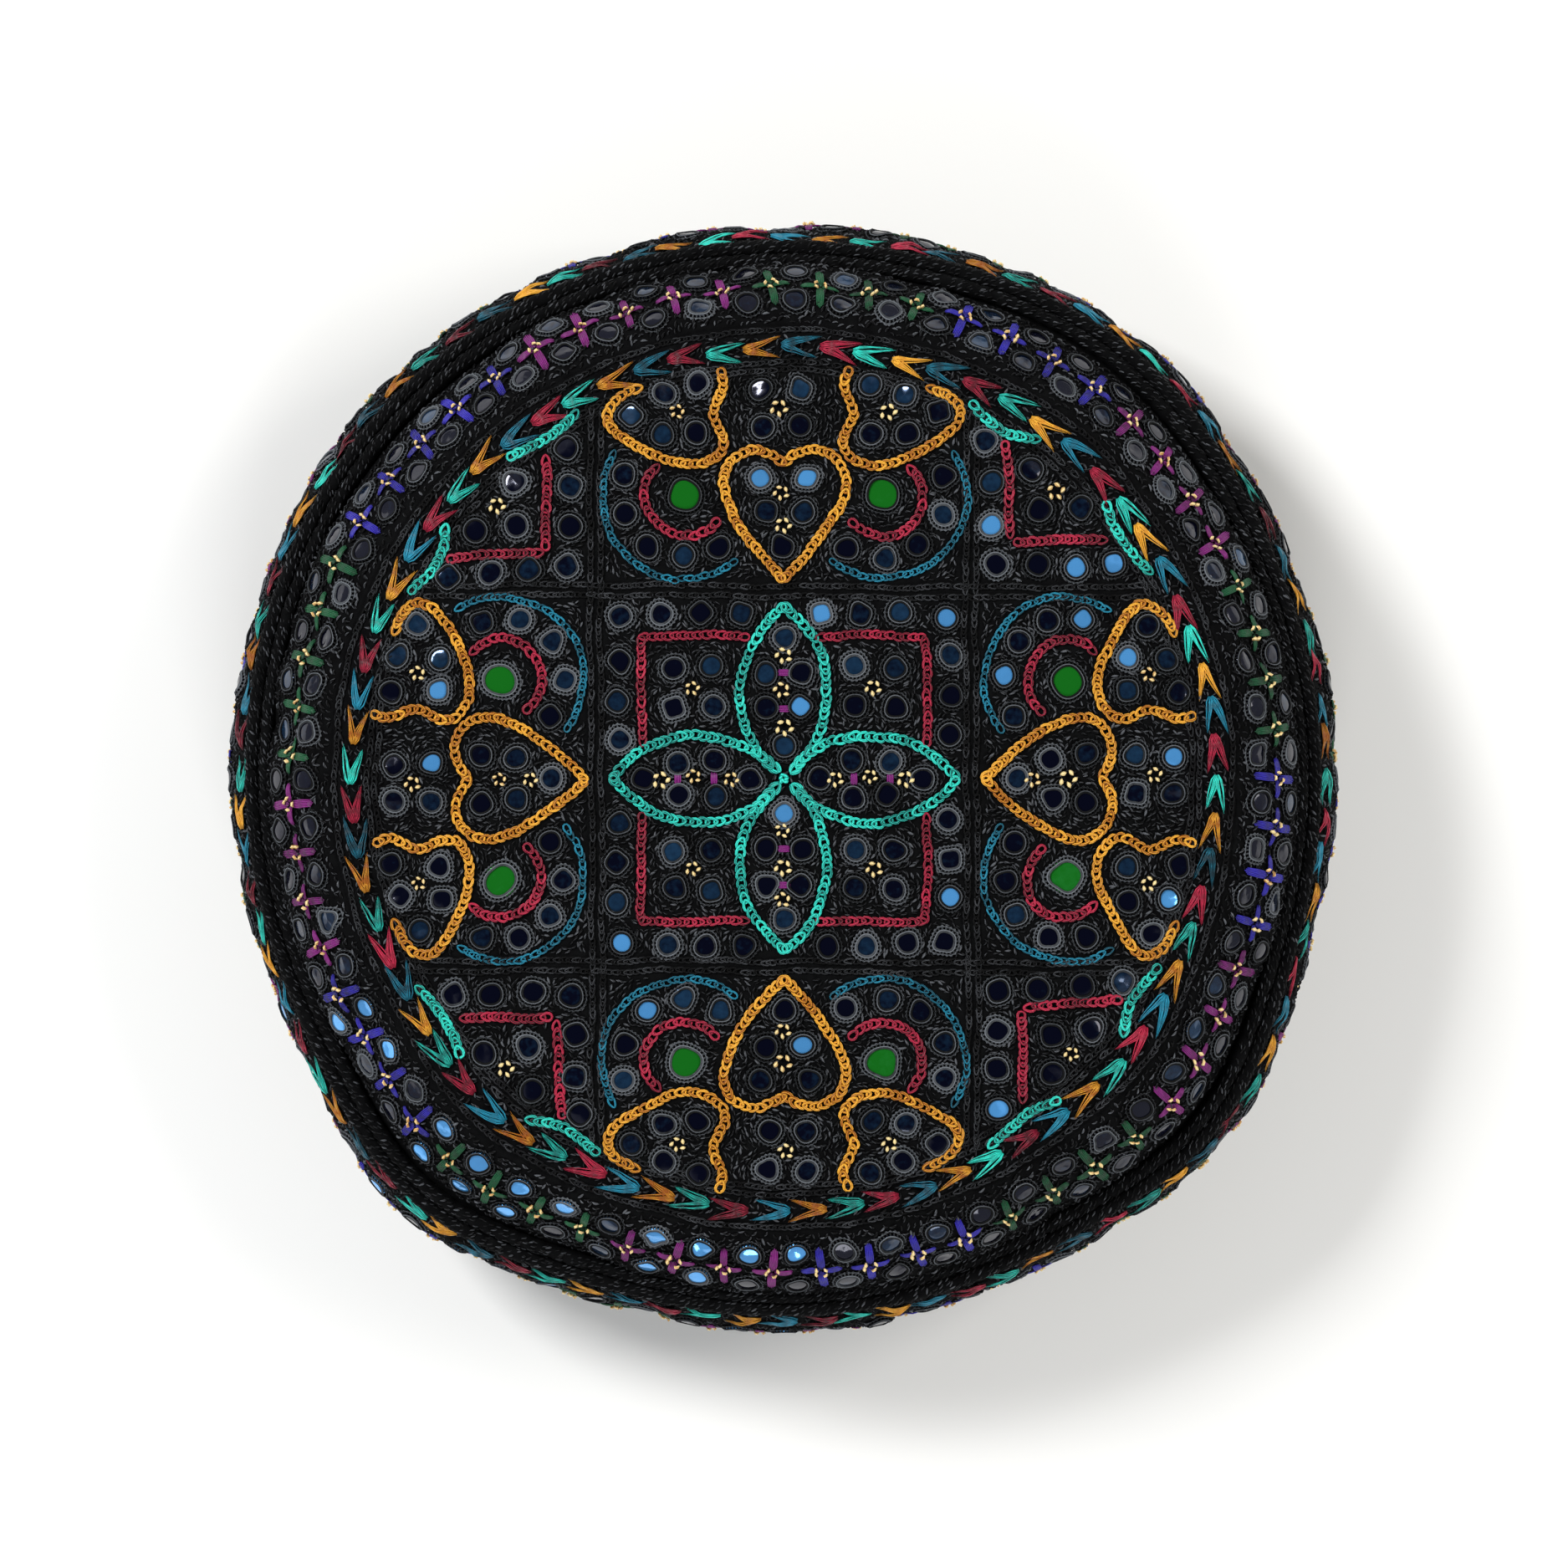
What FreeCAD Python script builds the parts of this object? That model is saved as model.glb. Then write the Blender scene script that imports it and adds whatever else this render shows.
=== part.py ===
"""Round floor cushion: embroidered mirror-work cover, zipped back and a loose pad inside.

Millimetres. +Z is up, the origin is the middle of the underside, and the zip runs along X.
"""
import FreeCAD, Part
import math
import os

import Sketcher

Vector = FreeCAD.Vector
UP = Vector(0, 0, 1)

doc = FreeCAD.newDocument("floor_cushion")
sizes = doc.addObject("Spreadsheet::Sheet", "Sizes")

# Driving sizes. Radii and heights of the cover are those of its outer face, without the stitching.
DRIVING = [
    ("cushion_diameter", 449, "widest place of the cloth wall"),
    ("crown_height", 128, "highest point of the top cloth"),
    ("crown_rise", 6, "rise of the top panel from its edge to its middle"),
    ("shoulder_run", 27, "how far the shoulder band slopes outwards"),
    ("shoulder_drop", 31, "how far the shoulder band slopes down"),
    ("wall_bulge", 11, "how far the side band stands out past its seams"),
    ("roll_rise", 2.4, "how far the upper seam roll lies above the upper piping"),
    ("lower_seam_height", 24, "height of the lower seam above the floor"),
    ("rim_stand", 2, "upright stretch between the back panel's rounded rim and the lower seam"),
    ("cloth", 1.2, "thickness of the embroidered cloths"),
    ("lining", 0.7, "thickness of the lining cloths and of the pad's casing"),
    ("ease", 0.3, "clearance between two layers or neighbours"),
    ("roll_diameter", 5.6, "outside of the upper seam roll"),
    ("piping_diameter", 6.0, "outside of the upper and lower piping"),
    ("piping_cloth", 0.8, "thickness of the cloth round a piping cord"),
    ("thread_height", 1.2, "how far the stitching stands up"),
    ("braid_width", 3.6, "width of one coloured chain-stitched braid"),
    ("row_width", 2.6, "width of one black chain row"),
    ("row_gap", 0.5, "clearance between two black chain rows"),
    ("chevron_width", 10.2, "width of a chevron ring"),
    ("mirror_diameter", 9.4, "small mirror"),
    ("green_mirror_diameter", 14, "large green mirror"),
    ("mirror_thickness", 0.9, "glass of the mirrors"),
    ("chevron_margin", 3, "bare cloth between a side chevron ring and its seam"),
    ("shoulder_mirror_count", 63, "mirrors in each row of the shoulder band"),
    ("side_mirror_count", 60, "mirrors round the side band"),
    ("zip_length", 340, "length of the zip's opening"),
    ("zip_slot_width", 16, "width of the channel that the zip lies in"),
    ("zip_channel_depth", 5.4, "height of the tapes above the floor"),
    ("stop_length", 4, "each stop of the zip"),
    ("stop_room", 2, "clearance between the slider and a stop"),
    ("tape_width", 15, "width of one zip tape"),
    ("tape_thickness", 0.6, "thickness of a zip tape"),
    ("teeth_height", 2.4, "height of the coil of teeth"),
    ("teeth_width", 2.4, "width of one coil of teeth"),
    ("slider_length", 11, "zip slider"),
    ("slider_width", 9, "zip slider"),
    ("slider_plate", 1.0, "thickness of each plate of the slider"),
    ("slider_post", 1.2, "width of the post between the slider's plates"),
    ("zip_clearance", 0.35, "running clearance of the slider"),
    ("tab_length", 24, "pull tab"),
    ("tab_width", 6, "pull tab"),
    ("tab_thickness", 1.0, "pull tab"),
    ("hinge_pin_diameter", 1.1, "cross bar that the pull tab turns on"),
    ("pad_ease", 0.5, "clearance between the pad and the cover"),
    ("groove_room", 1, "clearance between the pad and the zip's moving parts"),
]


def fill_sheet():
    for line, (alias, value, note) in enumerate(DRIVING, start=1):
        sizes.set(f"A{line}", note)
        sizes.set(f"B{line}", str(value))
        sizes.setAlias(f"B{line}", alias)
    doc.recompute()


fill_sheet()


def size(alias):
    """The expression that reads one driving size."""
    return f"Sizes.{alias}"


def number(expression):
    """The present value of an expression."""
    value = sizes.evalExpression(expression)
    return float(getattr(value, "Value", value))


# Expressions for the places that several pieces share.
wall_radius = f"({size('cushion_diameter')} / 2)"
seam_radius = f"({wall_radius} - {size('wall_bulge')})"
seam_reach = f"(({size('roll_diameter')} + {size('piping_diameter')}) / 2 + {size('ease')})"
roll_ring = f"({seam_radius} - sqrt({seam_reach} ^ 2 - {size('roll_rise')} ^ 2))"
shoulder_foot_radius = f"({roll_ring} - {size('roll_diameter')} / 2 - {size('ease')})"
shoulder_top_radius = f"({shoulder_foot_radius} - {size('shoulder_run')})"
panel_radius = f"({shoulder_top_radius} - {size('ease')})"
panel_edge_height = f"({size('crown_height')} - {size('crown_rise')})"
shoulder_foot_height = f"({panel_edge_height} - {size('shoulder_drop')})"
roll_height = f"({shoulder_foot_height} - {size('cloth')} * 3 / 4)"
piping_height = f"({roll_height} - {size('roll_rise')})"
side_top_height = f"({piping_height} - {size('piping_diameter')} / 2 - {size('ease')})"
side_bottom_height = f"({size('lower_seam_height')} + {size('piping_diameter')} / 2 + {size('ease')})"
crown_radius = f"(({panel_radius} ^ 2 + {size('crown_rise')} ^ 2) / (2 * {size('crown_rise')}))"
crown_centre = f"({size('crown_height')} - {crown_radius})"
side_half = f"(({side_top_height} - {side_bottom_height}) / 2)"
side_middle = f"(({side_top_height} + {side_bottom_height}) / 2)"
side_arc_radius = f"(({side_half} ^ 2 + {size('wall_bulge')} ^ 2) / (2 * {size('wall_bulge')}))"
side_arc_centre = f"({wall_radius} - {side_arc_radius})"

sub_parts = []


def keep(piece, label):
    """Give a sub-part its node name and list it for the export."""
    piece.Label = label
    sub_parts.append(piece)
    return piece


def arc_between(start, end, radius, turn):
    """A circular arc from start to end; turn is 1 anticlockwise and -1 clockwise."""
    chord = end - start
    half = chord.Length / 2
    reach = math.sqrt(max(radius ** 2 - half ** 2, 0))
    normal = Vector(-chord.y, chord.x, 0).normalize()
    centre = (start + end) * 0.5 + normal * reach * turn
    first, last = (start, end) if turn > 0 else (end, start)
    first_angle = math.atan2(first.y - centre.y, first.x - centre.x)
    last_angle = math.atan2(last.y - centre.y, last.x - centre.x)
    circle = Part.Circle(centre, UP, radius)
    return Part.ArcOfCircle(circle, first_angle, last_angle)


def fix_place(sketch, index, point, axis, expression):
    """Bind one coordinate of a point of the sketch to an expression."""
    value = number(expression)
    if abs(value) < 1e-9:
        sketch.addConstraint(Sketcher.Constraint("PointOnObject", index, point, -2 if axis == "X" else -1))
        return
    place = sketch.addConstraint(Sketcher.Constraint(f"Distance{axis}", -1, 1, index, point, value))
    sketch.setExpression(f"Constraints[{place}]", expression)


def draw_outline(sketch, corners):
    """A closed outline. A corner is (radius, height) or, with an arc to the next one,
    (radius, height, arc radius, turn)."""
    places = [Vector(number(corner[0]), number(corner[1]), 0) for corner in corners]
    ends = []
    for index, corner in enumerate(corners):
        start = places[index]
        end = places[(index + 1) % len(corners)]
        if len(corner) == 2:
            line = sketch.addGeometry(Part.LineSegment(start, end))
            ends.append((line, 1, 2))
            continue
        radius, turn = corner[2], corner[3]
        arc = sketch.addGeometry(arc_between(start, end, number(radius), turn))
        ends.append((arc, 1, 2) if turn > 0 else (arc, 2, 1))
        bend = sketch.addConstraint(Sketcher.Constraint("Radius", arc, number(radius)))
        sketch.setExpression(f"Constraints[{bend}]", radius)
    for index, corner in enumerate(corners):
        edge, first, last = ends[index]
        following = ends[(index + 1) % len(corners)]
        sketch.addConstraint(Sketcher.Constraint("Coincident", edge, last, following[0], following[1]))
        fix_place(sketch, edge, first, "X", corner[0])
        fix_place(sketch, edge, first, "Y", corner[1])


def origin_plane(body, role):
    return next(feature for feature in body.Origin.OriginFeatures if feature.Role == role)


def turned_body(label, corners):
    """A body of revolution about Z from a closed outline in radius and height."""
    body = doc.addObject("PartDesign::Body", label)
    sketch = body.newObject("Sketcher::SketchObject", f"{label}_outline")
    sketch.AttachmentSupport = (origin_plane(body, "XZ_Plane"), [""])
    sketch.MapMode = "FlatFace"
    draw_outline(sketch, corners)
    turn = body.newObject("PartDesign::Revolution", f"{label}_turn")
    turn.Profile = sketch
    turn.ReferenceAxis = (sketch, ["V_Axis"])
    turn.Angle = 360
    return body


def crown_at(depth, radius):
    """Height of the layer that lies depth under the crown's cloth face, at a radius."""
    return f"({crown_centre} + sqrt(({crown_radius} - {depth}) ^ 2 - {radius} ^ 2))"


def crown_layer(label, top, bottom, outer, inner="0"):
    """A layer that follows the crown between two depths and two radii."""
    corners = [(inner, crown_at(bottom, inner), f"({crown_radius} - {bottom})", -1),
               (outer, crown_at(bottom, outer)),
               (outer, crown_at(top, outer), f"({crown_radius} - {top})", 1),
               (inner, crown_at(top, inner))]
    return turned_body(label, corners)


def wall_at(depth, height):
    """Radius of the layer that lies depth inside the side band's face, at a height."""
    return (f"({side_arc_centre} + sqrt(({side_arc_radius} - {depth}) ^ 2"
            f" - ({height} - {side_middle}) ^ 2))")


def wall_layer(label, outside, inside, low, high):
    """A layer that follows the side band between two depths and two heights."""
    corners = [(wall_at(inside, low), low),
               (wall_at(outside, low), low, f"({side_arc_radius} - {outside})", 1),
               (wall_at(outside, high), high),
               (wall_at(inside, high), high, f"({side_arc_radius} - {inside})", -1)]
    return turned_body(label, corners)


def slope_layer(label, top, bottom, trim):
    """A layer that follows the shoulder band between two depths, cut back at both edges by trim."""
    steepness = f"({size('shoulder_drop')} / {size('shoulder_run')})"
    stretch = f"sqrt(1 + {steepness} ^ 2)"
    inner = f"({shoulder_top_radius} + {trim})"
    outer = f"({shoulder_foot_radius} - {trim})"

    def height(radius, depth):
        fall = f"({radius} - {shoulder_top_radius}) * {steepness}"
        return f"({panel_edge_height} - {fall} - ({depth}) * {stretch})"

    corners = [(inner, height(inner, bottom)),
               (outer, height(outer, bottom)),
               (outer, height(outer, top)),
               (inner, height(inner, top))]
    return turned_body(label, corners)


# ---- Cover: the embroidered cloths and their linings ----

cloth = size("cloth")
lining = size("lining")
ease = size("ease")
lining_top = f"({cloth} + {ease})"
lining_bottom = f"({lining_top} + {lining})"
pad_depth = f"({lining_bottom} + {ease})"
side_low = side_bottom_height
side_high = side_top_height
lining_reach = f"min({side_half}; 0.95 * ({side_arc_radius} - {pad_depth}))"
lining_low = f"({side_middle} - {lining_reach})"
lining_high = f"({side_middle} + {lining_reach})"

keep(crown_layer("top_panel", "0", cloth, panel_radius), "top_panel")
keep(crown_layer("top_lining", lining_top, lining_bottom, f"({panel_radius} - {cloth})"), "top_lining")
keep(slope_layer("shoulder_band", "0", cloth, "0"), "shoulder_band")
keep(slope_layer("shoulder_lining", lining_top, lining_bottom, f"({cloth} + {ease})"), "shoulder_lining")
keep(wall_layer("side_band", "0", cloth, side_low, side_high), "side_band")
keep(wall_layer("side_lining", lining_top, lining_bottom, lining_low, lining_high), "side_lining")


# ---- Seams: two rolls above the side band and one piping below it ----

def ring_cord(label, ring_radius, ring_height, diameter, cloth_thickness):
    """A cord wrapped in cloth: the cover's node and the cord's node."""
    cover = doc.addObject("Part::Torus", f"{label}_outside")
    cover.setExpression("Radius1", ring_radius)
    cover.setExpression("Radius2", f"{diameter} / 2")
    cover.setExpression("Placement.Base.z", ring_height)
    bore = doc.addObject("Part::Torus", f"{label}_bore")
    bore.setExpression("Radius1", ring_radius)
    bore.setExpression("Radius2", f"{diameter} / 2 - {cloth_thickness}")
    bore.setExpression("Placement.Base.z", ring_height)
    wrap = doc.addObject("Part::Cut", f"{label}_wrap")
    wrap.Base = cover
    wrap.Tool = bore
    keep(wrap, label)
    cord = doc.addObject("Part::Torus", f"{label}_string")
    cord.setExpression("Radius1", ring_radius)
    cord.setExpression("Radius2", f"{diameter} / 2 - {cloth_thickness} - 0.1")
    cord.setExpression("Placement.Base.z", ring_height)
    keep(cord, f"{label}_cord")


ring_cord("upper_seam_roll", roll_ring, roll_height, size("roll_diameter"), size("piping_cloth"))
ring_cord("upper_piping", seam_radius, piping_height, size("piping_diameter"), size("piping_cloth"))
ring_cord("lower_piping", seam_radius, size("lower_seam_height"), size("piping_diameter"),
          size("piping_cloth"))


# ---- Back: two half panels with a channel between them for the zip ----

def box(label, place, extent):
    """A block with its lowest corner at place; both are three expressions."""
    block = doc.addObject("Part::Box", label)
    for name, expression in zip(("Length", "Width", "Height"), extent):
        block.setExpression(name, expression)
    for axis, expression in zip("xyz", place):
        block.setExpression(f"Placement.Base.{axis}", expression)
    return block


def cut(label, base, tool):
    result = doc.addObject("Part::Cut", label)
    result.Base = base
    result.Tool = tool
    return result


def fuse(label, shapes):
    result = doc.addObject("Part::MultiFuse", label)
    result.Shapes = shapes
    return result


slot_half = f"({size('zip_slot_width')} / 2)"
zip_half = f"({size('zip_length')} / 2)"
channel = size("zip_channel_depth")
rim_radius = f"({size('lower_seam_height')} - {size('rim_stand')})"
rim_reach = f"({seam_radius} - {size('piping_diameter')} / 2 - {ease})"
flat_radius = f"({rim_reach} - {rim_radius})"
rim_top = size("lower_seam_height")


def back_shell():
    """The whole back cloth before it is parted: a flat disc with a rounded rim."""
    inside = f"({rim_radius} - {cloth})"
    corners = [("0", "0"),
               (flat_radius, "0", rim_radius, 1),
               (rim_reach, rim_radius),
               (rim_reach, rim_top),
               (f"({rim_reach} - {cloth})", rim_top),
               (f"({rim_reach} - {cloth})", rim_radius, inside, -1),
               (flat_radius, cloth),
               ("0", cloth)]
    return turned_body("back_cloth", corners)


back_cloth = back_shell()
back_span = f"({rim_reach} * 2 + 20)"


def back_half(label, side):
    """One half of the back, with the hem that turns up beside the zip."""
    far = "0" if side > 0 else f"(-{back_span} / 2)"
    half_space = box(f"{label}_side", (f"(-{back_span} / 2)", far, "-1"),
                     (back_span, f"({back_span} / 2)", f"({rim_top} + 2)"))
    half = doc.addObject("Part::Common", f"{label}_cloth")
    half.Base = back_cloth
    half.Tool = half_space
    slot = box(f"{label}_slot", (f"(-{zip_half})", f"(-{slot_half})", "-1"),
               (size("zip_length"), size("zip_slot_width"), f"({rim_top} + 2)"))
    seam = box(f"{label}_seam", (f"(-{back_span} / 2)", f"(-{ease} / 2)", "-1"),
               (back_span, ease, f"({rim_top} + 2)"))
    open_half = cut(f"{label}_open", cut(f"{label}_slotted", half, slot), seam)
    hem_y = slot_half if side > 0 else f"(-{slot_half} - {cloth})"
    hem = box(f"{label}_hem", (f"(-{zip_half})", hem_y, "0"),
              (size("zip_length"), cloth, f"({channel} - {ease})"))
    return keep(fuse(f"{label}_sewn", [open_half, hem]), label)


back_half("back_panel_upper", 1)
back_half("back_panel_lower", -1)


# ---- Zip: tapes, coils of teeth, stops, slider and pull tab ----

teeth_inner = f"({size('slider_post')} / 2 + {size('zip_clearance')})"
teeth_outer = f"({teeth_inner} + {size('teeth_width')})"
teeth_bottom = f"({channel} + {size('tape_thickness')} / 2 - {size('teeth_height')} / 2)"
teeth_top = f"({teeth_bottom} + {size('teeth_height')})"
stop_length = size("stop_length")
travel_start = f"(-{zip_half} + {stop_length} + {size('stop_room')})"
travel = f"({size('zip_length')} - 2 * ({stop_length} + {size('stop_room')}) - {size('slider_length')})"


def mirrored_strip(label, near, far, low, high, side, start, length):
    """A strip along X between two distances from the zip's middle, on one side of it."""
    low_y = near if side > 0 else f"(-{far})"
    return box(label, (start, low_y, low), (length, f"({far} - {near})", f"({high} - {low})"))


for name, side in (("upper", 1), ("lower", -1)):
    tape_near = f"({teeth_outer} + 0.1)"
    keep(mirrored_strip(f"zip_tape_{name}_strip", tape_near, f"({tape_near} + {size('tape_width')})",
                        channel, f"({channel} + {size('tape_thickness')})", side,
                        f"(-{zip_half})", size("zip_length")), f"zip_tape_{name}")
    keep(mirrored_strip(f"zip_teeth_{name}_coil", teeth_inner, teeth_outer, teeth_bottom, teeth_top,
                        side, f"(-{zip_half} + {stop_length} + 0.5)",
                        f"({size('zip_length')} - 2 * ({stop_length} + 0.5))"), f"zip_teeth_{name}")


def stop_pair(label, start):
    """A stop at one end of the zip: one block over each row of teeth."""
    blocks = [mirrored_strip(f"{label}_{side}", teeth_inner, teeth_outer, teeth_bottom, teeth_top, turn,
                             start, stop_length) for side, turn in (("upper", 1), ("lower", -1))]
    return keep(fuse(f"{label}_pair", blocks), label)


stop_pair("zip_top_stops", f"(-{zip_half})")
keep(box("zip_bottom_stop_block", (f"({zip_half} - {stop_length})", f"(-{teeth_outer})", teeth_bottom),
         (stop_length, f"(2 * {teeth_outer})", size("teeth_height"))), "zip_bottom_stop")

slider_low = f"({teeth_bottom} - {size('zip_clearance')} - {size('slider_plate')})"
slider_high = f"({teeth_top} + {size('zip_clearance')})"
slider_half = f"({size('slider_width')} / 2)"
loop_gap = f"({size('hinge_pin_diameter')} + 0.3)"
pin_height = f"({slider_low} - {loop_gap} / 2 - 0.15)"
pin_place = f"({travel_start} + {size('slider_length')} / 2)"
ear_inner = f"({size('tab_width')} / 2 - 1.3)"


def slider():
    """Two plates joined by a post, with a small bridge under it that holds the tab's bar."""
    length = size("slider_length")
    lower = box("slider_lower_plate", (travel_start, f"(-{slider_half})", slider_low),
                (length, size("slider_width"), size("slider_plate")))
    upper = box("slider_upper_plate", (travel_start, f"(-{slider_half})", slider_high),
                (length, size("slider_width"), size("slider_plate")))
    post = box("slider_post_block", (travel_start, f"(-{size('slider_post')} / 2)", slider_low),
               (f"({length} / 3)", size("slider_post"), f"({slider_high} - {slider_low} + 0.2)"))
    hole = doc.addObject("Part::Cylinder", "slider_bridge_hole")
    hole.setExpression("Radius", f"({size('hinge_pin_diameter')} / 2 + 0.15)")
    hole.setExpression("Height", f"(2 * {ear_inner})")
    hole.Placement.Rotation = FreeCAD.Rotation(Vector(1, 0, 0), -90)
    hole.setExpression("Placement.Base.x", pin_place)
    hole.setExpression("Placement.Base.y", f"(-{ear_inner})")
    hole.setExpression("Placement.Base.z", pin_height)
    bridge = box("slider_bridge_block",
                 (f"({pin_place} - {loop_gap} / 2 - 0.6)", f"(-{ear_inner} + {size('zip_clearance')})",
                  f"({pin_height} - {loop_gap} / 2 - 0.6)"),
                 (f"({loop_gap} + 1.2)", f"(2 * ({ear_inner} - {size('zip_clearance')}))",
                  f"({slider_low} - {pin_height} + {loop_gap} / 2 + 0.7)"))
    body = fuse("slider_body", [lower, upper, post, bridge])
    return keep(cut("slider_drilled", body, hole), "zip_slider")


def pull_tab():
    """A flat tab whose bar runs through the slider's bridge."""
    pin = doc.addObject("Part::Cylinder", "tab_bar")
    pin.setExpression("Radius", f"{size('hinge_pin_diameter')} / 2")
    pin.setExpression("Height", size("tab_width"))
    pin.Placement.Rotation = FreeCAD.Rotation(Vector(1, 0, 0), -90)
    pin.setExpression("Placement.Base.x", pin_place)
    pin.setExpression("Placement.Base.y", f"(-{size('tab_width')} / 2)")
    pin.setExpression("Placement.Base.z", pin_height)
    plate = box("tab_plate", (f"({pin_place} - 0.5)", f"(-{size('tab_width')} / 2)",
                              f"({pin_height} - {size('tab_thickness')} / 2)"),
                (f"({size('tab_length')} + 0.5)", size("tab_width"), size("tab_thickness")))
    window = box("tab_window", (f"({pin_place} - 2)", f"(-{ear_inner})", f"({pin_height} - 3)"),
                 ("6", f"(2 * {ear_inner})", "6"))
    frame = cut("tab_frame", plate, window)
    return keep(fuse("tab_body", [frame, pin]), "zip_pull_tab")


slider()
pull_tab()


# ---- Pad: a cotton casing in three cloths round its filling, with a groove over the zip ----

pad_ease = size("pad_ease")
casing_low_seam = f"({size('lower_seam_height')} + 6)"
casing_high_seam = f"({side_top_height} - 5)"
pad_bottom = f"({cloth} + {ease})"
groove_half = f"({tape_near} + {size('tape_width')} + {size('groove_room')})"
tab_room_end = f"({pin_place} + {travel} + {size('tab_length')} + {size('groove_room')})"
tab_room_half = f"({size('tab_width')} / 2 + {size('groove_room')})"
groove_top = f"({slider_high} + {size('slider_plate')} + {ease})"
pad_corner_radius = f"({shoulder_top_radius} - 6)"
pad_side_radius = f"({wall_at(pad_depth, lining_low)} - {pad_ease})"
pad_foot_radius = flat_radius


def pad_outline(inset, floor_lift):
    """The pad's outline, set in from the casing's outer face by inset."""
    crown = f"({pad_depth} + {inset})"
    shoulder = f"({side_top_height} - 4 - {inset})"
    edge = f"({pad_side_radius} - 6 - {inset})"
    wall = f"({pad_side_radius} - {inset})"
    corner = f"({pad_corner_radius} - {inset})"
    bottom = f"({pad_bottom} + {floor_lift})"
    return [("0", bottom),
            (f"({pad_foot_radius} - {inset})", bottom),
            (wall, casing_low_seam),
            (wall, shoulder),
            (edge, f"({shoulder} + 5)"),
            (corner, crown_at(crown, corner), f"({crown_radius} - {crown})", 1),
            ("0", crown_at(crown, "0"))]


def groove(label, grow):
    """The room over the zip and over the pull tab's farthest place, grown on every side by grow."""
    high = f"({groove_top} + {grow} + 5)"
    over_zip = box(f"{label}_zip", (f"(-{zip_half} - 4 - {grow})", f"(-{groove_half} - {grow})", "-5"),
                   (f"({size('zip_length')} + 8 + 2 * {grow})", f"(2 * ({groove_half} + {grow}))", high))
    over_tab = box(f"{label}_tab", ("0", f"(-{tab_room_half} - {grow})", "-5"),
                   (f"({tab_room_end} + {grow})", f"(2 * ({tab_room_half} + {grow}))", high))
    return fuse(label, [over_zip, over_tab])


def slice_between(label, source, low, high):
    """The part of a solid between two heights."""
    reach = f"({size('cushion_diameter')} + 20)"
    slab = box(f"{label}_slab", (f"(-{reach} / 2)", f"(-{reach} / 2)", low),
               (reach, reach, f"({high} - {low})"))
    result = doc.addObject("Part::Common", f"{label}_slice")
    result.Base = source
    result.Tool = slab
    return keep(result, label)


casing_solid = cut("casing_outside", turned_body("casing_form", pad_outline("0", "0")),
                   groove("casing_groove", "0"))
casing_room = cut("casing_inside", turned_body("casing_room_form", pad_outline(lining, lining)),
                  groove("casing_room_groove", lining))
casing = cut("casing_shell", casing_solid, casing_room)
slice_between("pad_casing_bottom", casing, "0", f"({casing_low_seam} - 0.1)")
slice_between("pad_casing_side", casing, f"({casing_low_seam} + 0.1)", f"({casing_high_seam} - 0.1)")
slice_between("pad_casing_top", casing, f"({casing_high_seam} + 0.1)", size("crown_height"))

fill_inset = f"({lining} + {ease})"
keep(cut("filling_body", turned_body("filling_form", pad_outline(fill_inset, fill_inset)),
         groove("filling_groove", fill_inset)), "pad_filling")


# ---- Stitching that goes right round: chevron rings and black chain rows ----

stitch_bottom = f"(-{ease})"
stitch_top = f"(-{ease} - {size('thread_height')})"
outer_row = f"({panel_radius} - 0.5)"
chevron_outer = f"({outer_row} - {size('row_width')} - {size('row_gap')})"
chevron_inner = f"({chevron_outer} - {size('chevron_width')})"
inner_row = f"({chevron_inner} - {size('row_gap')})"
field_radius = f"({inner_row} - {size('row_width')} - {size('row_gap')})"

keep(crown_layer("top_chevrons", stitch_top, stitch_bottom, chevron_outer, chevron_inner),
     "top_chevron_ring")
rows = [crown_layer("outer_row", stitch_top, stitch_bottom, outer_row,
                    f"({outer_row} - {size('row_width')})"),
        crown_layer("inner_row", stitch_top, stitch_bottom, inner_row,
                    f"({inner_row} - {size('row_width')})")]
keep(fuse("ring_rows", rows), "top_ring_rows")

upper_chevron_high = f"({side_top_height} - {size('chevron_margin')})"
upper_chevron_low = f"({upper_chevron_high} - {size('chevron_width')})"
lower_chevron_low = f"({side_bottom_height} + {size('chevron_margin')})"
lower_chevron_high = f"({lower_chevron_low} + {size('chevron_width')})"
keep(wall_layer("upper_chevrons", stitch_top, stitch_bottom, upper_chevron_low, upper_chevron_high),
     "side_chevron_ring_upper")
keep(wall_layer("lower_chevrons", stitch_top, stitch_bottom, lower_chevron_low, lower_chevron_high),
     "side_chevron_ring_lower")

doc.recompute()


# ---- Stitching and mirrors of the top panel, drawn flat and laid on the crown ----
# The pattern is drawn for a round field of this radius and grows or shrinks with the real field.

DRAWN_FIELD_RADIUS = 160.0
field_scale = number(field_radius) / DRAWN_FIELD_RADIUS
PETAL_LENGTH = 66.0
PETAL_HALF_WIDTH = 16.5
SQUARE_HALF = 54.8
EYE = (38, 109.2)
CRIMSON_RADIUS = 15.5
TEAL_RADIUS = 30.4
EYE_MIRROR_RADIUS = 23.3
ANGLE_CORNER = 90.5
ANGLE_END = 121.0
gap = number(ease)
mirror_radius = number(size("mirror_diameter")) / 2
green_radius = number(size("green_mirror_diameter")) / 2
braid_width = number(size("braid_width"))
row_width = number(size("row_width"))
row_reach = row_width + (braid_width + number(size("row_gap"))) / 2 + gap
grid_line = EYE[0] + TEAL_RADIUS + row_reach / field_scale


def flat(x, y):
    """A point of the drawn pattern, in the cushion's own millimetres."""
    return Vector(x * field_scale, y * field_scale, 0)


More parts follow.
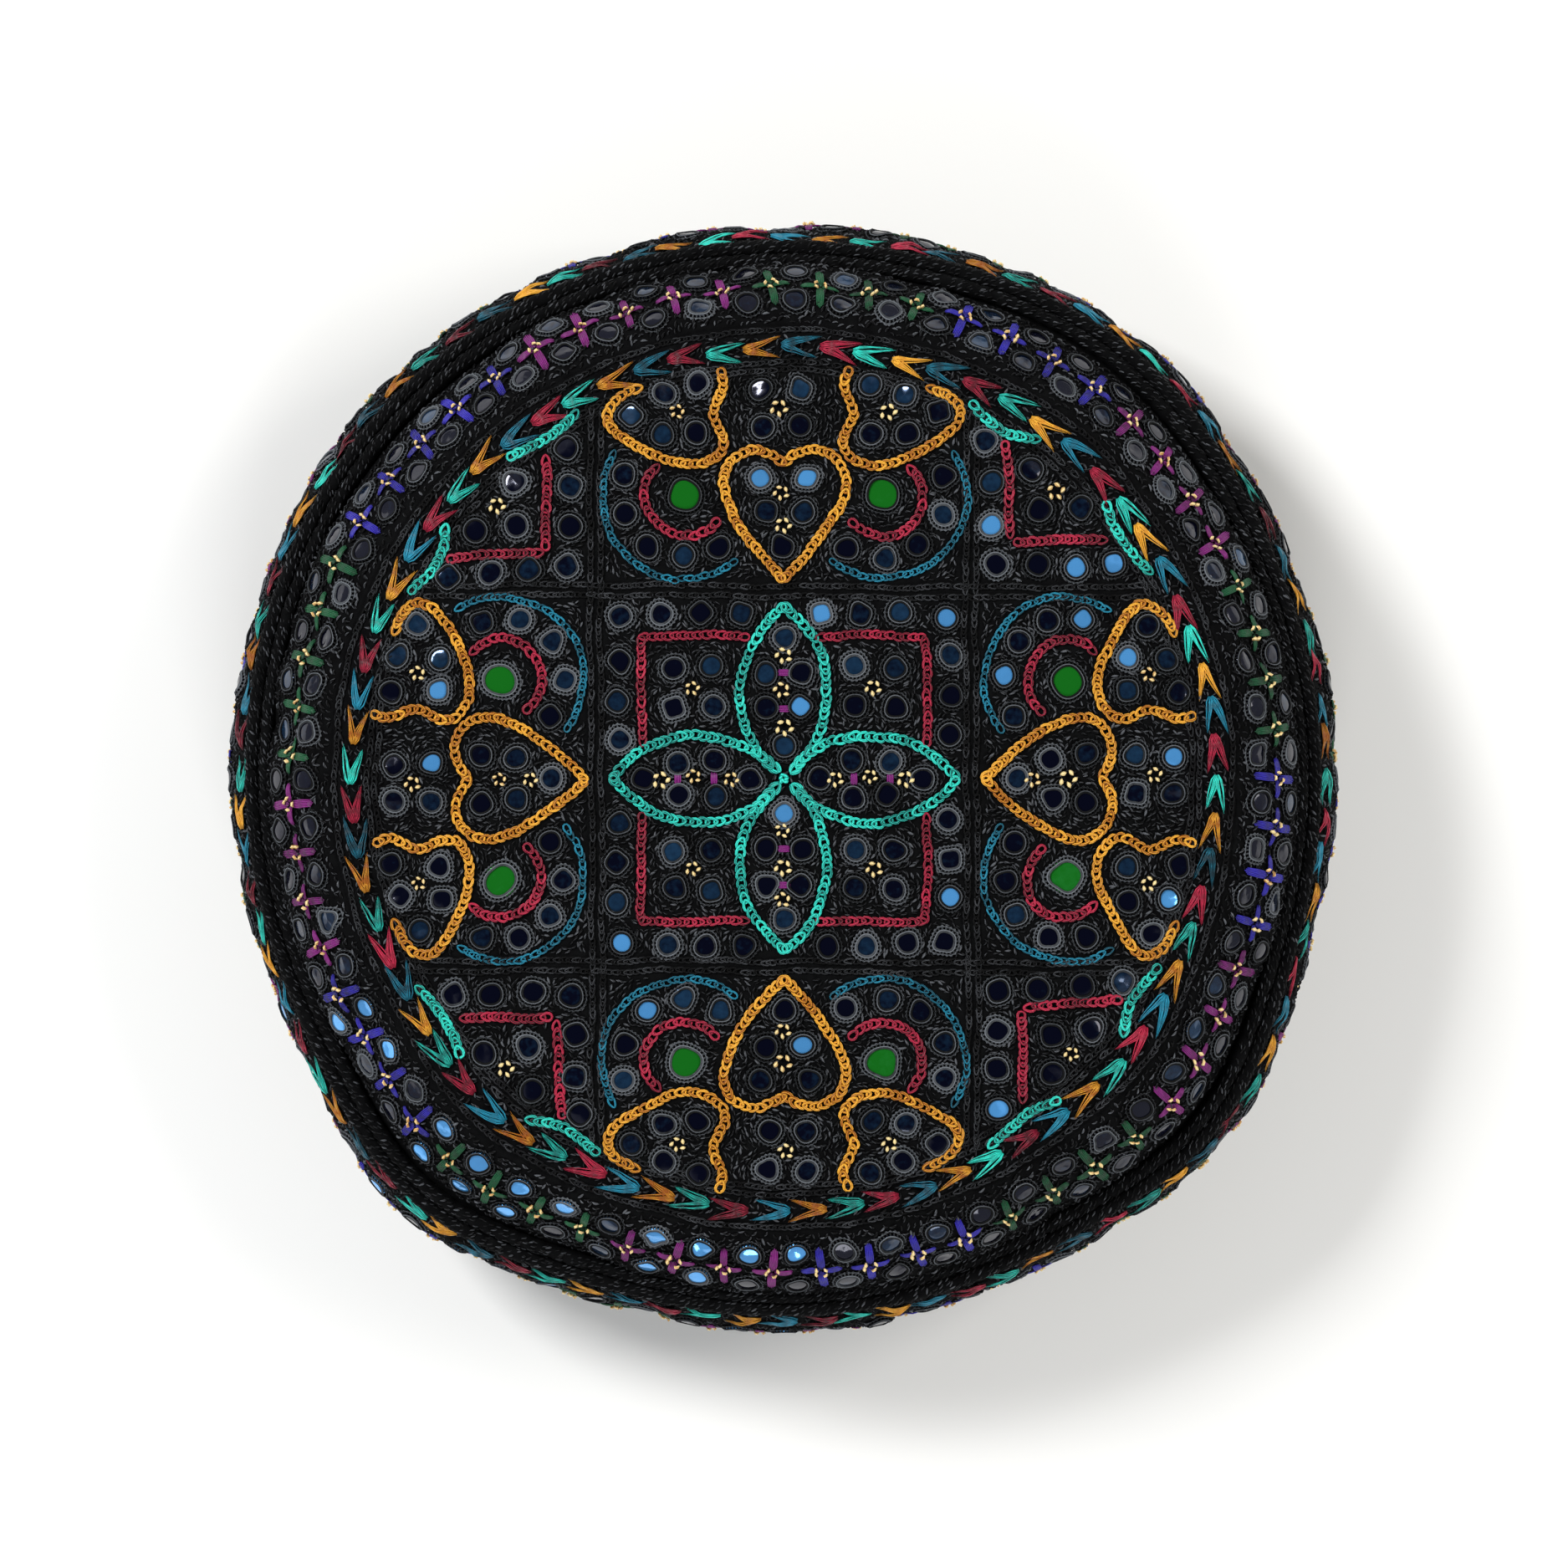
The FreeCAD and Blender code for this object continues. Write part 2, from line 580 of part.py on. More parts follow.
def quarter_turns(shape):
    """A shape and its three copies round the middle."""
    copies = []
    for quarter in range(4):
        copy = shape.copy()
        copy.rotate(Vector(0, 0, 0), UP, 90 * quarter)
        copies.append(copy)
    return copies


def mirrored(points):
    return [(-x, y) for x, y in points]


def beside_eye(radius, degrees):
    """A place round the large mirror on the left of an edge field."""
    angle = math.radians(degrees)
    return (-EYE[0] + radius * math.cos(angle), EYE[1] + radius * math.sin(angle))


def centre_mirrors():
    blocks = [(35 + dx, 35 + dy) for dx in (-7.5, 7.5) for dy in (-7.5, 7.5)]
    in_petal = [(0, 13), (-6.4, 27), (6.4, 27), (-6.4, 41), (6.4, 41), (0, 54)]
    border = [(x, 62.8) for x in (15.2, 30, 45, 62.8)] + [(-x, 62.8) for x in (15.2, 30, 45)]
    return blocks + in_petal + border


def edge_mirrors():
    block = [(dx, 144.6 + dy) for dx in (-7.5, 7.5) for dy in (-7.5, 7.5)]
    heart = [(-9, 115), (9, 115), (-7, 101.5), (7, 101.5), (0, 89.5)]
    beside = [beside_eye(EYE_MIRROR_RADIUS, degrees) for degrees in (163, 197, 233, 268, 303)]
    pair = (mirror_radius + gap) / field_scale
    in_half = [(-57, 141), (-41.1 - pair, 133.7), (-41.1 + pair, 133.7), (-45, 148)]
    one_side = beside + in_half
    return block + heart + one_side + mirrored(one_side)


def corner_mirrors():
    inner = [(-100.5, 100.5), (-100.5, 114.5), (-114.5, 100.5)]
    outer = [(-82.3, 82.3)]
    for step in (97, 111.5, 126):
        outer.append((-82.3, step))
        outer.append((-step, 82.3))
    return inner + outer


def circle_face(place, radius):
    return Part.Face(Part.Wire([Part.makeCircle(radius, place)]))


def mirror_spots():
    """The middle and the radius of each mirror of the top panel."""
    small = centre_mirrors() + edge_mirrors() + corner_mirrors()
    spots = [(flat(x, y), mirror_radius) for x, y in small]
    spots += [(flat(side * EYE[0], EYE[1]), green_radius) for side in (-1, 1)]
    turn = FreeCAD.Rotation(UP, 90)
    for _ in range(3):
        spots += [(turn.multVec(place), radius) for place, radius in spots[-len(small) - 2:]]
    return spots


def clear_of_mirrors(outline):
    """A flat outline, cut back round each mirror that it would come too near."""
    near = [circle_face(place, radius + gap) for place, radius in all_mirrors
            if outline.distToShape(Part.Vertex(place))[0] < radius + gap]
    return outline.cut(near) if near else outline


def braid(points, width):
    """The flat outline of a braid that runs in an arc through three points, or along a line."""
    places = [flat(x, y) for x, y in points]
    if len(places) == 2:
        along = (places[1] - places[0]).normalize()
        across = Vector(-along.y, along.x, 0) * (width / 2)
        outline = [places[0] - across, places[1] - across, places[1] + across, places[0] + across]
        return Part.Face(Part.makePolygon(outline + outline[:1]))
    middle = Part.Wire([Part.Arc(*places).toShape()])
    return Part.Face(middle.makeOffset2D(width / 2, 0, False, False))


def crown_slab():
    """The layer that the top panel's braids fill."""
    high = number(f"({crown_radius} - {stitch_top})")
    low = number(f"({crown_radius} - {stitch_bottom})")
    centre = Vector(0, 0, number(crown_centre))
    reach = number(field_radius)

    def rim(radius):
        return Vector(reach, 0, centre.z + math.sqrt(radius ** 2 - reach ** 2))

    def bend(radius):
        half = math.asin(reach / radius) / 2
        return Vector(radius * math.sin(half), 0, centre.z + radius * math.cos(half))

    low_pole = centre + UP * low
    high_pole = centre + UP * high
    edges = [Part.Arc(low_pole, bend(low), rim(low)).toShape(),
             Part.LineSegment(rim(low), rim(high)).toShape(),
             Part.Arc(rim(high), bend(high), high_pole).toShape(),
             Part.LineSegment(high_pole, low_pole).toShape()]
    return Part.Face(Part.Wire(edges)).revolve(Vector(0, 0, 0), UP, 360)


all_mirrors = mirror_spots()
slab_floor = number(panel_edge_height) - 5
slab_depth = number(size("crown_rise")) + 15


def columns_from(faces, floor, depth):
    """Flat outlines raised into upright columns and joined."""
    columns = []
    for outline in faces:
        for face in clear_of_mirrors(outline).Faces:
            face.translate(Vector(0, 0, floor))
            column = face.extrude(UP * depth)
            if column.Volume < 0:
                column.reverse()
            columns.append(column)
    return columns[0].multiFuse(columns[1:]).removeSplitter() if len(columns) > 1 else columns[0]


def on_crown(place, lift):
    """The point that lies over a place of the flat drawing, lifted off the cloth, and the normal there."""
    sphere = number(crown_radius)
    height = math.sqrt(sphere ** 2 - place.x ** 2 - place.y ** 2)
    normal = Vector(place.x, place.y, height).normalize()
    return Vector(0, 0, number(crown_centre)) + normal * (sphere + lift), normal


def motif(faces):
    """One motif: its outlines joined, as thick as the stitching, laid square to the crown at its middle."""
    solid = columns_from(faces, 0, number(size("thread_height")))
    bounds = solid.BoundBox
    middle = Vector(bounds.Center.x, bounds.Center.y, 0)
    place, normal = on_crown(middle, number(ease))
    solid.translate(middle * -1)
    solid.Placement = FreeCAD.Placement(place, FreeCAD.Rotation(UP, normal)).multiply(solid.Placement)
    return solid


def group(label, solids):
    """Like pieces in one node."""
    piece = doc.addObject("Part::Feature", label)
    piece.Shape = Part.makeCompound(solids)
    return keep(piece, label)


def quartered_group(label, motifs):
    group(label, [copy for solid in motifs for copy in quarter_turns(solid)])


def grid_rows():
    """Double black rows that part the top panel into nine fields."""
    step = (row_width + number(size("row_gap"))) / 2
    faces = []
    for line in (-grid_line, grid_line):
        for side in (-step, step):
            reach = DRAWN_FIELD_RADIUS + 5
            place = line + side / field_scale
            faces.append(braid([(-reach, place), (reach, place)], row_width))
            faces.append(braid([(place, -reach), (place, reach)], row_width))
    return faces


def petal():
    """One pointed petal: the ring between two leaves, cut back where it meets its neighbours."""
    radius = (PETAL_LENGTH ** 2 / 4 + PETAL_HALF_WIDTH ** 2) / (2 * PETAL_HALF_WIDTH)

    def leaf(margin):
        wide = (radius + margin) * field_scale
        offset = radius - PETAL_HALF_WIDTH
        discs = [circle_face(flat(side * offset, PETAL_LENGTH / 2), wide) for side in (-1, 1)]
        return discs[0].common(discs[1])

    half_width = braid_width / 2 / field_scale
    reach = PETAL_LENGTH + braid_width * 2
    corners = [flat(0, 1), flat(reach, reach), flat(-reach, reach)]
    wedge = Part.Face(Part.makePolygon(corners + corners[:1]))
    return motif([leaf(half_width).cut(leaf(-half_width)).common(wedge)])


def square_corner():
    """One corner of the crimson square, which the petals interrupt."""
    inner = PETAL_HALF_WIDTH - 1.0
    outer = SQUARE_HALF + braid_width / 2 / field_scale
    return motif([braid([(inner, SQUARE_HALF), (outer, SQUARE_HALF)], braid_width),
                  braid([(SQUARE_HALF, inner), (SQUARE_HALF, SQUARE_HALF)], braid_width)])


def arcs_motif(outlines):
    return motif([braid(points, braid_width) for points in outlines])


def hearts():
    """An orange heart with its tip towards the middle, and a half heart cut by the ring on each side."""
    lobe = [(0, 122.5), (-13, 126), (-22.5, 115)]
    flank = [(-22.5, 115), (-16, 93.5), (0, grid_line + row_reach / field_scale)]
    half_heart = [beside_ring(-56.3, 147.5), (-66, 138.5), (-57, 128)]
    half_lobe = [(-57, 128), (-38, 121.9), (-28.4, 132)]
    half_edge = [(-28.4, 132), (-30.5, 143), beside_ring(-28.5, 154)]
    half = [half_heart, half_lobe, half_edge]
    whole = [lobe, flank, mirrored(lobe), mirrored(flank)]
    return [arcs_motif(whole), arcs_motif(half), arcs_motif([mirrored(points) for points in half])]


def beside_ring(x, y):
    """The place in the direction of x and y where a braid lies just clear of the ring."""
    reach = (number(field_radius) - braid_width / 2 - gap) / field_scale
    away = math.hypot(x, y)
    return (x * reach / away, y * reach / away)


def eye_arcs(radius, start, end):
    """The same arc beside the left and the right large mirror of an edge field."""
    arc = [beside_eye(radius, degrees) for degrees in (start, (start + end) / 2, end)]
    return [arcs_motif([arc]), arcs_motif([mirrored(arc)])]


def corner_angle():
    """A crimson right angle in a corner field."""
    outer = ANGLE_CORNER - braid_width / 2 / field_scale
    return motif([braid([(-ANGLE_CORNER, outer), (-ANGLE_CORNER, ANGLE_END)], braid_width),
                  braid([(-ANGLE_CORNER, ANGLE_CORNER), (-ANGLE_END, ANGLE_CORNER)], braid_width)])


def corner_arcs():
    """Turquoise arcs beside the ring in a corner field."""
    return [arcs_motif([[beside_ring(-79, 136.6), (-91, 128), beside_ring(-102, 120.6)]]),
            arcs_motif([[beside_ring(-136.6, 79), (-128, 91), beside_ring(-120.6, 102)]])]


grid_columns = columns_from(grid_rows(), slab_floor, slab_depth)
group("grid_chain_rows", crown_slab().common(grid_columns).Solids)
quartered_group("petal_braids", [petal()])
quartered_group("square_braids", [square_corner()])
quartered_group("heart_braids", hearts())
quartered_group("crimson_arc_braids", eye_arcs(CRIMSON_RADIUS, 152, 318))
quartered_group("teal_arc_braids", eye_arcs(TEAL_RADIUS, 148, 300))
quartered_group("corner_angle_braids", [corner_angle()])
quartered_group("corner_arc_braids", corner_arcs())


# ---- Mirrors: glass discs that lie on the cloth ----

glass = number(size("mirror_thickness"))


def disc_on_crown(x, y, radius):
    """A glass disc that lies square to the crown."""
    place, normal = on_crown(flat(x, y), gap)
    return Part.makeCylinder(radius, glass, place, normal)


def mirror_group(label, places, radius):
    quartered_group(label, [disc_on_crown(x, y, radius) for x, y in places])


def around(count, maker):
    return [maker(2 * math.pi * index / count) for index in range(count)]


def shoulder_frame(angle, share):
    """A place on the shoulder band at a share of its width, and the cloth's outward normal there."""
    run = number(size("shoulder_run"))
    drop = number(size("shoulder_drop"))
    radius = number(shoulder_top_radius) + share * run
    normal = Vector(drop * math.cos(angle), drop * math.sin(angle), run).normalize()
    place = Vector(radius * math.cos(angle), radius * math.sin(angle),
                   number(panel_edge_height) - share * drop)
    return place, normal


def shoulder_disc(share):
    def make(angle):
        place, normal = shoulder_frame(angle, share)
        return Part.makeCylinder(mirror_radius, glass, place + normal * (gap + 0.1), normal)
    return make


def shoulder_bar(angle):
    """One bar of stitches between two pairs of mirrors."""
    length = math.hypot(number(size("shoulder_run")), number(size("shoulder_drop"))) * 0.72
    bar = Part.makeBox(length, braid_width, number(size("thread_height")),
                       Vector(-length / 2, -braid_width / 2, 0))
    place, normal = shoulder_frame(angle, 0.5)
    along = Vector(-math.sin(angle), math.cos(angle), 0)
    down = along.cross(normal)
    turn = FreeCAD.Rotation(down, along, normal, "ZXY")
    bar.Placement = FreeCAD.Placement(place + normal * (gap + 0.1), turn)
    return bar


def side_disc(angle):
    """A mirror half way up the side band."""
    outward = Vector(math.cos(angle), math.sin(angle), 0)
    place = outward * (number(wall_radius) + gap) + UP * number(side_middle)
    return Part.makeCylinder(mirror_radius, glass, place, outward)


shoulder_count = int(number(size("shoulder_mirror_count")))
half_step = math.pi / shoulder_count
mirror_group("centre_mirrors", centre_mirrors(), mirror_radius)
mirror_group("edge_mirrors", edge_mirrors(), mirror_radius)
mirror_group("corner_mirrors", corner_mirrors(), mirror_radius)
mirror_group("green_mirrors", [EYE, (-EYE[0], EYE[1])], green_radius)
group("shoulder_mirrors", around(shoulder_count, shoulder_disc(0.27))
      + around(shoulder_count, shoulder_disc(0.73)))
group("shoulder_bars", around(shoulder_count, lambda angle: shoulder_bar(angle + half_step)))
group("side_mirrors", around(int(number(size("side_mirror_count"))), side_disc))


# ---- Check every object, then write each sub-part ----

def check_document():
    doc.recompute()
    for item in doc.Objects:
        if "Invalid" in item.State or "Error" in item.State:
            raise RuntimeError(f"{item.Label} failed: {item.State}")
    for piece in sub_parts:
        if piece.Shape.isNull() or not piece.Shape.isValid() or not piece.Shape.Solids:
            raise RuntimeError(f"{piece.Label} has no valid shape")


def export():
    os.makedirs("parts", exist_ok=True)
    for piece in sub_parts:
        piece.Shape.exportStep(os.path.join("parts", f"{piece.Label}.step"))
        bounds = piece.Shape.optimalBoundingBox()
        print(f"{piece.Label:26s} solids {len(piece.Shape.Solids):4d}  volume {piece.Shape.Volume:12.1f}"
              f"  z {bounds.ZMin:7.2f} {bounds.ZMax:7.2f}  r {bounds.XMax:7.2f}")


check_document()
export()
print("travel", number(travel), "pin", number(pin_place), number(pin_height))
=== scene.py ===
import math

import bpy
import numpy as np
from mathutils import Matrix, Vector
from mathutils.bvhtree import BVHTree


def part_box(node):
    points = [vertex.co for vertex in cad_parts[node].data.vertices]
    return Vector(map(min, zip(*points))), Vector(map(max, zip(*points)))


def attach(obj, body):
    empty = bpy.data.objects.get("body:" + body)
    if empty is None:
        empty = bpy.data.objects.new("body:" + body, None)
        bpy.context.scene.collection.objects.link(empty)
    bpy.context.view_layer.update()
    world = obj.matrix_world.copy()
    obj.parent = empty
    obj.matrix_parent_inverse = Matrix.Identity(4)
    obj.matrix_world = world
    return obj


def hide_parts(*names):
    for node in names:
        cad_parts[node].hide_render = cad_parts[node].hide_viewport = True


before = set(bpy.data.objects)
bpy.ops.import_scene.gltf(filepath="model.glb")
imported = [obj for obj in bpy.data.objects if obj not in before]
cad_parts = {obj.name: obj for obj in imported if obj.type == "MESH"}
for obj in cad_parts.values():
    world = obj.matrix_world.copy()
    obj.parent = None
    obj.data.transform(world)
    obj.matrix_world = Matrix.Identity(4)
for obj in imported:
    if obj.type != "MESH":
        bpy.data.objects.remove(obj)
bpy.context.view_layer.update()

# ---- Where the cushion is seen: from straight above, on a pale studio floor ----
# The floor is matt painted board. Soft boxes stand round it, and the room overhead is dark, so that
# glass which lies level stays dark and glass which leans towards a box lights up.


def linear(hex_colour):
    """An sRGB hex colour as linear red, green, blue and alpha."""
    channels = [int(hex_colour[i:i + 2], 16) / 255 for i in (1, 3, 5)]
    return [c / 12.92 if c <= 0.04045 else ((c + 0.055) / 1.055) ** 2.4 for c in channels] + [1.0]


def node(tree, kind, settings, sockets):
    """Adds a node, sets its own settings, and fills its sockets with values or links."""
    made = tree.nodes.new("ShaderNode" + kind)
    for name, value in settings.items():
        setattr(made, name, value)
    for name, value in sockets.items():
        if isinstance(value, bpy.types.NodeSocket):
            tree.links.new(value, made.inputs[name])
        else:
            made.inputs[name].default_value = value
    return made


def new_material(name):
    """An empty material, its node tree, and the place on the piece for its patterns."""
    material = bpy.data.materials.new(name)
    material.use_nodes = True
    tree = material.node_tree
    tree.nodes.clear()
    return material, tree, node(tree, "TexCoord", {}, {}).outputs["Object"]


def finish_surface(tree, sockets):
    """Ends a material's tree with its one surface shader."""
    shader = node(tree, "BsdfPrincipled", {}, sockets)
    node(tree, "OutputMaterial", {}, {"Surface": shader.outputs[0]})


def ramp(tree, factor, low, high):
    """A ramp between two colours, each given as its place on the factor and its sRGB hex."""
    made = node(tree, "ValToRGB", {}, {"Fac": factor})
    for element, (place, colour) in zip(made.color_ramp.elements, (low, high)):
        element.position = place
        element.color = linear(colour)
    return made


def painted_board():
    """Matt painted board: even and pale, with a faint mottle from the roller."""
    material, tree, place = new_material("painted_board")
    mottle = node(tree, "TexNoise", {}, {"Vector": place, "Scale": 60.0})
    relief = node(tree, "Bump", {}, {"Strength": 0.02, "Height": mottle.outputs["Fac"]})
    finish_surface(tree, {"Base Color": linear("#FAFAF8"), "Roughness": 0.9,
                          "Normal": relief.outputs["Normal"]})
    return material


floor_width = 60.0
floor_gap = 0.0005
bpy.ops.mesh.primitive_plane_add(size=floor_width, location=(0, 0, -floor_gap))
floor = bpy.context.object
floor.name = "floor"
floor.data.materials.append(painted_board())

camera_height = 1.70
camera_shift = 0.002   # towards the front
widest_height = 0.055
view_width = 0.634
camera = bpy.data.objects.new("camera", bpy.data.cameras.new("camera"))
bpy.context.scene.collection.objects.link(camera)
camera.location = (0, -camera_shift, camera_height)
camera.data.sensor_width = 36.0
camera.data.lens = camera.data.sensor_width * (camera_height - widest_height) / view_width
bpy.context.scene.camera = camera
bpy.context.scene.view_settings.view_transform = "Standard"


def soft_box(name, place, aim, width, watts, colour):
    """A square area light that looks at aim."""
    light = bpy.data.lights.new(name, "AREA")
    light.size = width
    light.energy = watts
    light.color = linear(colour)[:3]
    lamp = bpy.data.objects.new(name, light)
    bpy.context.scene.collection.objects.link(lamp)
    lamp.location = place
    direction = Vector(aim) - Vector(place)
    lamp.rotation_euler = direction.to_track_quat("-Z", "Y").to_euler()
    return lamp


soft_box("left_box", (-1.5, 1.1, 1.9), (0, 0, 0), 0.7, 52, "#FFFFFF")
soft_box("right_box", (1.8, 0.6, 1.7), (0, 0, 0), 1.0, 24, "#FFFBF4")
soft_box("front_box", (0.2, -2.0, 1.6), (0, 0, 0), 1.0, 22, "#FFFFFF")

world = bpy.data.worlds.new("studio")
bpy.context.scene.world = world
world.use_nodes = True
world.node_tree.nodes.clear()
sky = world.node_tree
sky_place = node(sky, "TexCoord", {}, {})
sky_axes = node(sky, "SeparateXYZ", {}, {"Vector": sky_place.outputs["Generated"]})
overhead = node(sky, "MapRange", {"interpolation_type": "SMOOTHSTEP"},
                {"Value": sky_axes.outputs["Z"], "From Min": 0.72, "From Max": 0.93,
                 "To Min": 0.45, "To Max": 0.03})
skyline = node(sky, "MapRange", {"interpolation_type": "SMOOTHSTEP"},
               {"Value": sky_axes.outputs["Z"], "From Min": 0.0, "From Max": 0.3,
                "To Min": 0.3, "To Max": 0.84})
sky_path = node(sky, "LightPath", {}, {})
room = node(sky, "Background", {}, {"Color": linear("#F2F4F8"), "Strength": overhead.outputs["Result"]})
backdrop = node(sky, "Background", {}, {"Color": linear("#FBFBFA"), "Strength": skyline.outputs["Result"]})
shown = node(sky, "MixShader", {}, {0: sky_path.outputs["Is Camera Ray"], 1: room.outputs[0],
                                    2: backdrop.outputs[0]})
node(sky, "OutputWorld", {}, {"Surface": shown.outputs[0]})


# ---- The pad: a calico casing stuffed tight with cotton ----
# Its top, wall and bottom follow the cover's cut. Cloth simulation stuffs a form of it. How unevenly
# that form swells is kept, made stronger and capped, and shapes every cloth of the cover.

MM = 0.001


def low_corner(name):
    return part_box(name)[0] / MM


def high_corner(name):
    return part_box(name)[1] / MM


crown_height = high_corner("top_panel").z
panel_radius = high_corner("top_panel").x
panel_edge_height = high_corner("shoulder_band").z
foot_radius = high_corner("shoulder_band").x
foot_lift = 1.8
foot_height = low_corner("shoulder_band").z + foot_lift
side_top = high_corner("side_band").z
side_bottom = low_corner("side_band").z
wall_radius = high_corner("side_band").x
piping_radius = (high_corner("lower_piping").z - low_corner("lower_piping").z) / 2
seam_radius = high_corner("lower_piping").x - piping_radius
back_radius = high_corner("back_panel_upper").x
back_top = high_corner("back_panel_upper").z
rim_margin = 2
rim_radius = back_top - rim_margin


def bowed(start, end, bow, count):
    """Places from start to end in radius and height, bowed outwards by bow in the middle."""
    share = np.linspace(0, 1, count)[:, None]
    run = np.subtract(end, start)
    outward = np.array([-run[1], run[0]]) / np.hypot(*run)
    return np.asarray(start) + run * share + outward * 4 * bow * share * (1 - share)


def cover_route():
    """The cover's outline from the middle of the top, out, down the wall and back under the pad."""
    crown_share = np.linspace(0, 1, 60)[:, None]
    crown = np.hstack([panel_radius * crown_share,
                       crown_height - (crown_height - panel_edge_height) * crown_share ** 2])
    shoulder = bowed((panel_radius, panel_edge_height), (foot_radius, foot_height), 2.6, 24)
    tuck = bowed((foot_radius, foot_height), (seam_radius, side_top), -1.5, 8)
    wall = bowed((seam_radius, side_top), (seam_radius, side_bottom), wall_radius - seam_radius, 40)
    lower_tuck = bowed((seam_radius, side_bottom), (back_radius, back_top), -0.5, 6)
    quarter = np.linspace(0, math.pi / 2, 16)
    rim = np.stack([back_radius - rim_radius + rim_radius * np.cos(quarter),
                    rim_radius - rim_radius * np.sin(quarter)], 1)
    under = bowed((back_radius - rim_radius, 0), (0, 0), 0, 40)
    return [crown, shoulder, tuck, wall, lower_tuck, rim, under]


stretches = cover_route()
route = np.concatenate([stretches[0]] + [stretch[1:] for stretch in stretches[1:]])
lengths = np.concatenate([[0], np.cumsum(np.hypot(*np.diff(route, axis=0).T))])
ends = lengths[np.cumsum([len(stretch) - 1 for stretch in stretches])]
panel_end, shoulder_end, tuck_end, wall_end, lower_tuck_end, rim_end, under_end = ends
slope = np.gradient(route, lengths, axis=0)
outward = np.stack([-slope[:, 1], slope[:, 0]], 1)
outward /= np.hypot(*outward.T)[:, None]

# How far the stuffed corners stand out past a true circle: where, how far and how wide in degrees.
corner_puffs = [(52, 6.5, 19), (137, 4.0, 30), (229, 10.5, 15), (321, 8.5, 14)]
drawn_in = 3.6   # between the corners the outline lies this far inside the circle


def lean(turn):
    """How far the cushion's outline stands out past a circle, in the direction turn."""
    degrees = np.degrees(turn)
    total = np.full(np.shape(turn), -drawn_in, float)
    for middle, height, width in corner_puffs:
        away = (degrees - middle + 180) % 360 - 180
        total += height * np.exp(-(away / width) ** 2)
    return total


swell_along = np.linspace(0, under_end, 190)
swell_turn_count = 240
swell = np.zeros((len(swell_along), swell_turn_count + 1))


def swell_at(along, turn):
    """The stuffing's swell, read between the places where it was measured."""
    row = np.clip(along / under_end, 0, 1) * (len(swell_along) - 1)
    column = (turn / (2 * math.pi)) % 1.0 * swell_turn_count
    row_low = np.minimum(row.astype(int), len(swell_along) - 2)
    column_low = np.minimum(column.astype(int), swell_turn_count - 1)
    row_share = row - row_low
    column_share = column - column_low
    low = swell[row_low, column_low] * (1 - column_share) + swell[row_low, column_low + 1] * column_share
    high = (swell[row_low + 1, column_low] * (1 - column_share)
            + swell[row_low + 1, column_low + 1] * column_share)
    return low * (1 - row_share) + high * row_share


def on_cover(along, turn, lift):
    """Places over the cover, in millimetres: along its outline, turned about Z, lifted off the cloth."""
    radius = np.interp(along, lengths, route[:, 0])
    height = np.interp(along, lengths, route[:, 1])
    out = np.interp(along, lengths, outward[:, 0])
    up = np.interp(along, lengths, outward[:, 1])
    rise = lift + swell_at(along, turn)
    spread = np.interp(along, [110, panel_end, shoulder_end, wall_end, rim_end, under_end],
                       [0, 0.45, 0.85, 1.0, 0.6, 0])
    reach = radius + out * rise + lean(turn) * spread * (radius > 1)
    return np.stack([reach * np.cos(turn), reach * np.sin(turn), height + up * rise], -1)


def mesh_object(name, places, faces):
    """A smooth mesh from places in millimetres and arrays of faces, each array of one size."""
    mesh = bpy.data.meshes.new(name)
    mesh.vertices.add(len(places))
    mesh.vertices.foreach_set("co", (np.asarray(places) * MM).ravel())
    corners = np.concatenate([face.ravel() for face in faces])
    counts = np.concatenate([np.full(len(face), face.shape[1]) for face in faces])
    mesh.loops.add(len(corners))
    mesh.loops.foreach_set("vertex_index", corners)
    mesh.polygons.add(len(counts))
    mesh.polygons.foreach_set("loop_start", np.concatenate([[0], counts.cumsum()[:-1]]))
    mesh.update(calc_edges=True)
    mesh.validate()
    mesh.shade_smooth()
    made = bpy.data.objects.new(name, mesh)
    bpy.context.scene.collection.objects.link(made)
    return made


def grid_faces(rows, columns, wrap):
    """Quads of a grid of places, joined round if wrap."""
    across = columns if wrap else columns - 1
    row, column = np.meshgrid(np.arange(rows - 1), np.arange(across), indexing="ij")
    following = (column + 1) % columns
    quads = np.stack([row * columns + column, (row + 1) * columns + column,
                      (row + 1) * columns + following, row * columns + following], -1)
    return quads.reshape(-1, 4)


def round_cloth(along_values, count, lift):
    """A cloth that runs right round, as places and faces."""
    turn = np.arange(count) * 2 * math.pi / count
    along, turns = np.meshgrid(along_values, turn, indexing="ij")
    places = on_cover(along, turns, lift).reshape(-1, 3)
    return places, grid_faces(len(along_values), count, True)


def end_faces(rows, count):
    """The faces that close the first and the last ring of a grid."""
    ring = np.arange(count)
    return [ring[None, :], (ring + (rows - 1) * count)[None, ::-1]]


slack = 2.5


def stuffed_form():
    """The closed form before it is stuffed: the cover's outline, a little slack."""
    along_values = np.linspace(6, under_end - 6, 110)
    count = 160
    places, quads = round_cloth(along_values, count, -slack)
    return mesh_object("stuffed_form", places, [quads] + end_faces(len(along_values), count))


settling_frames = 20


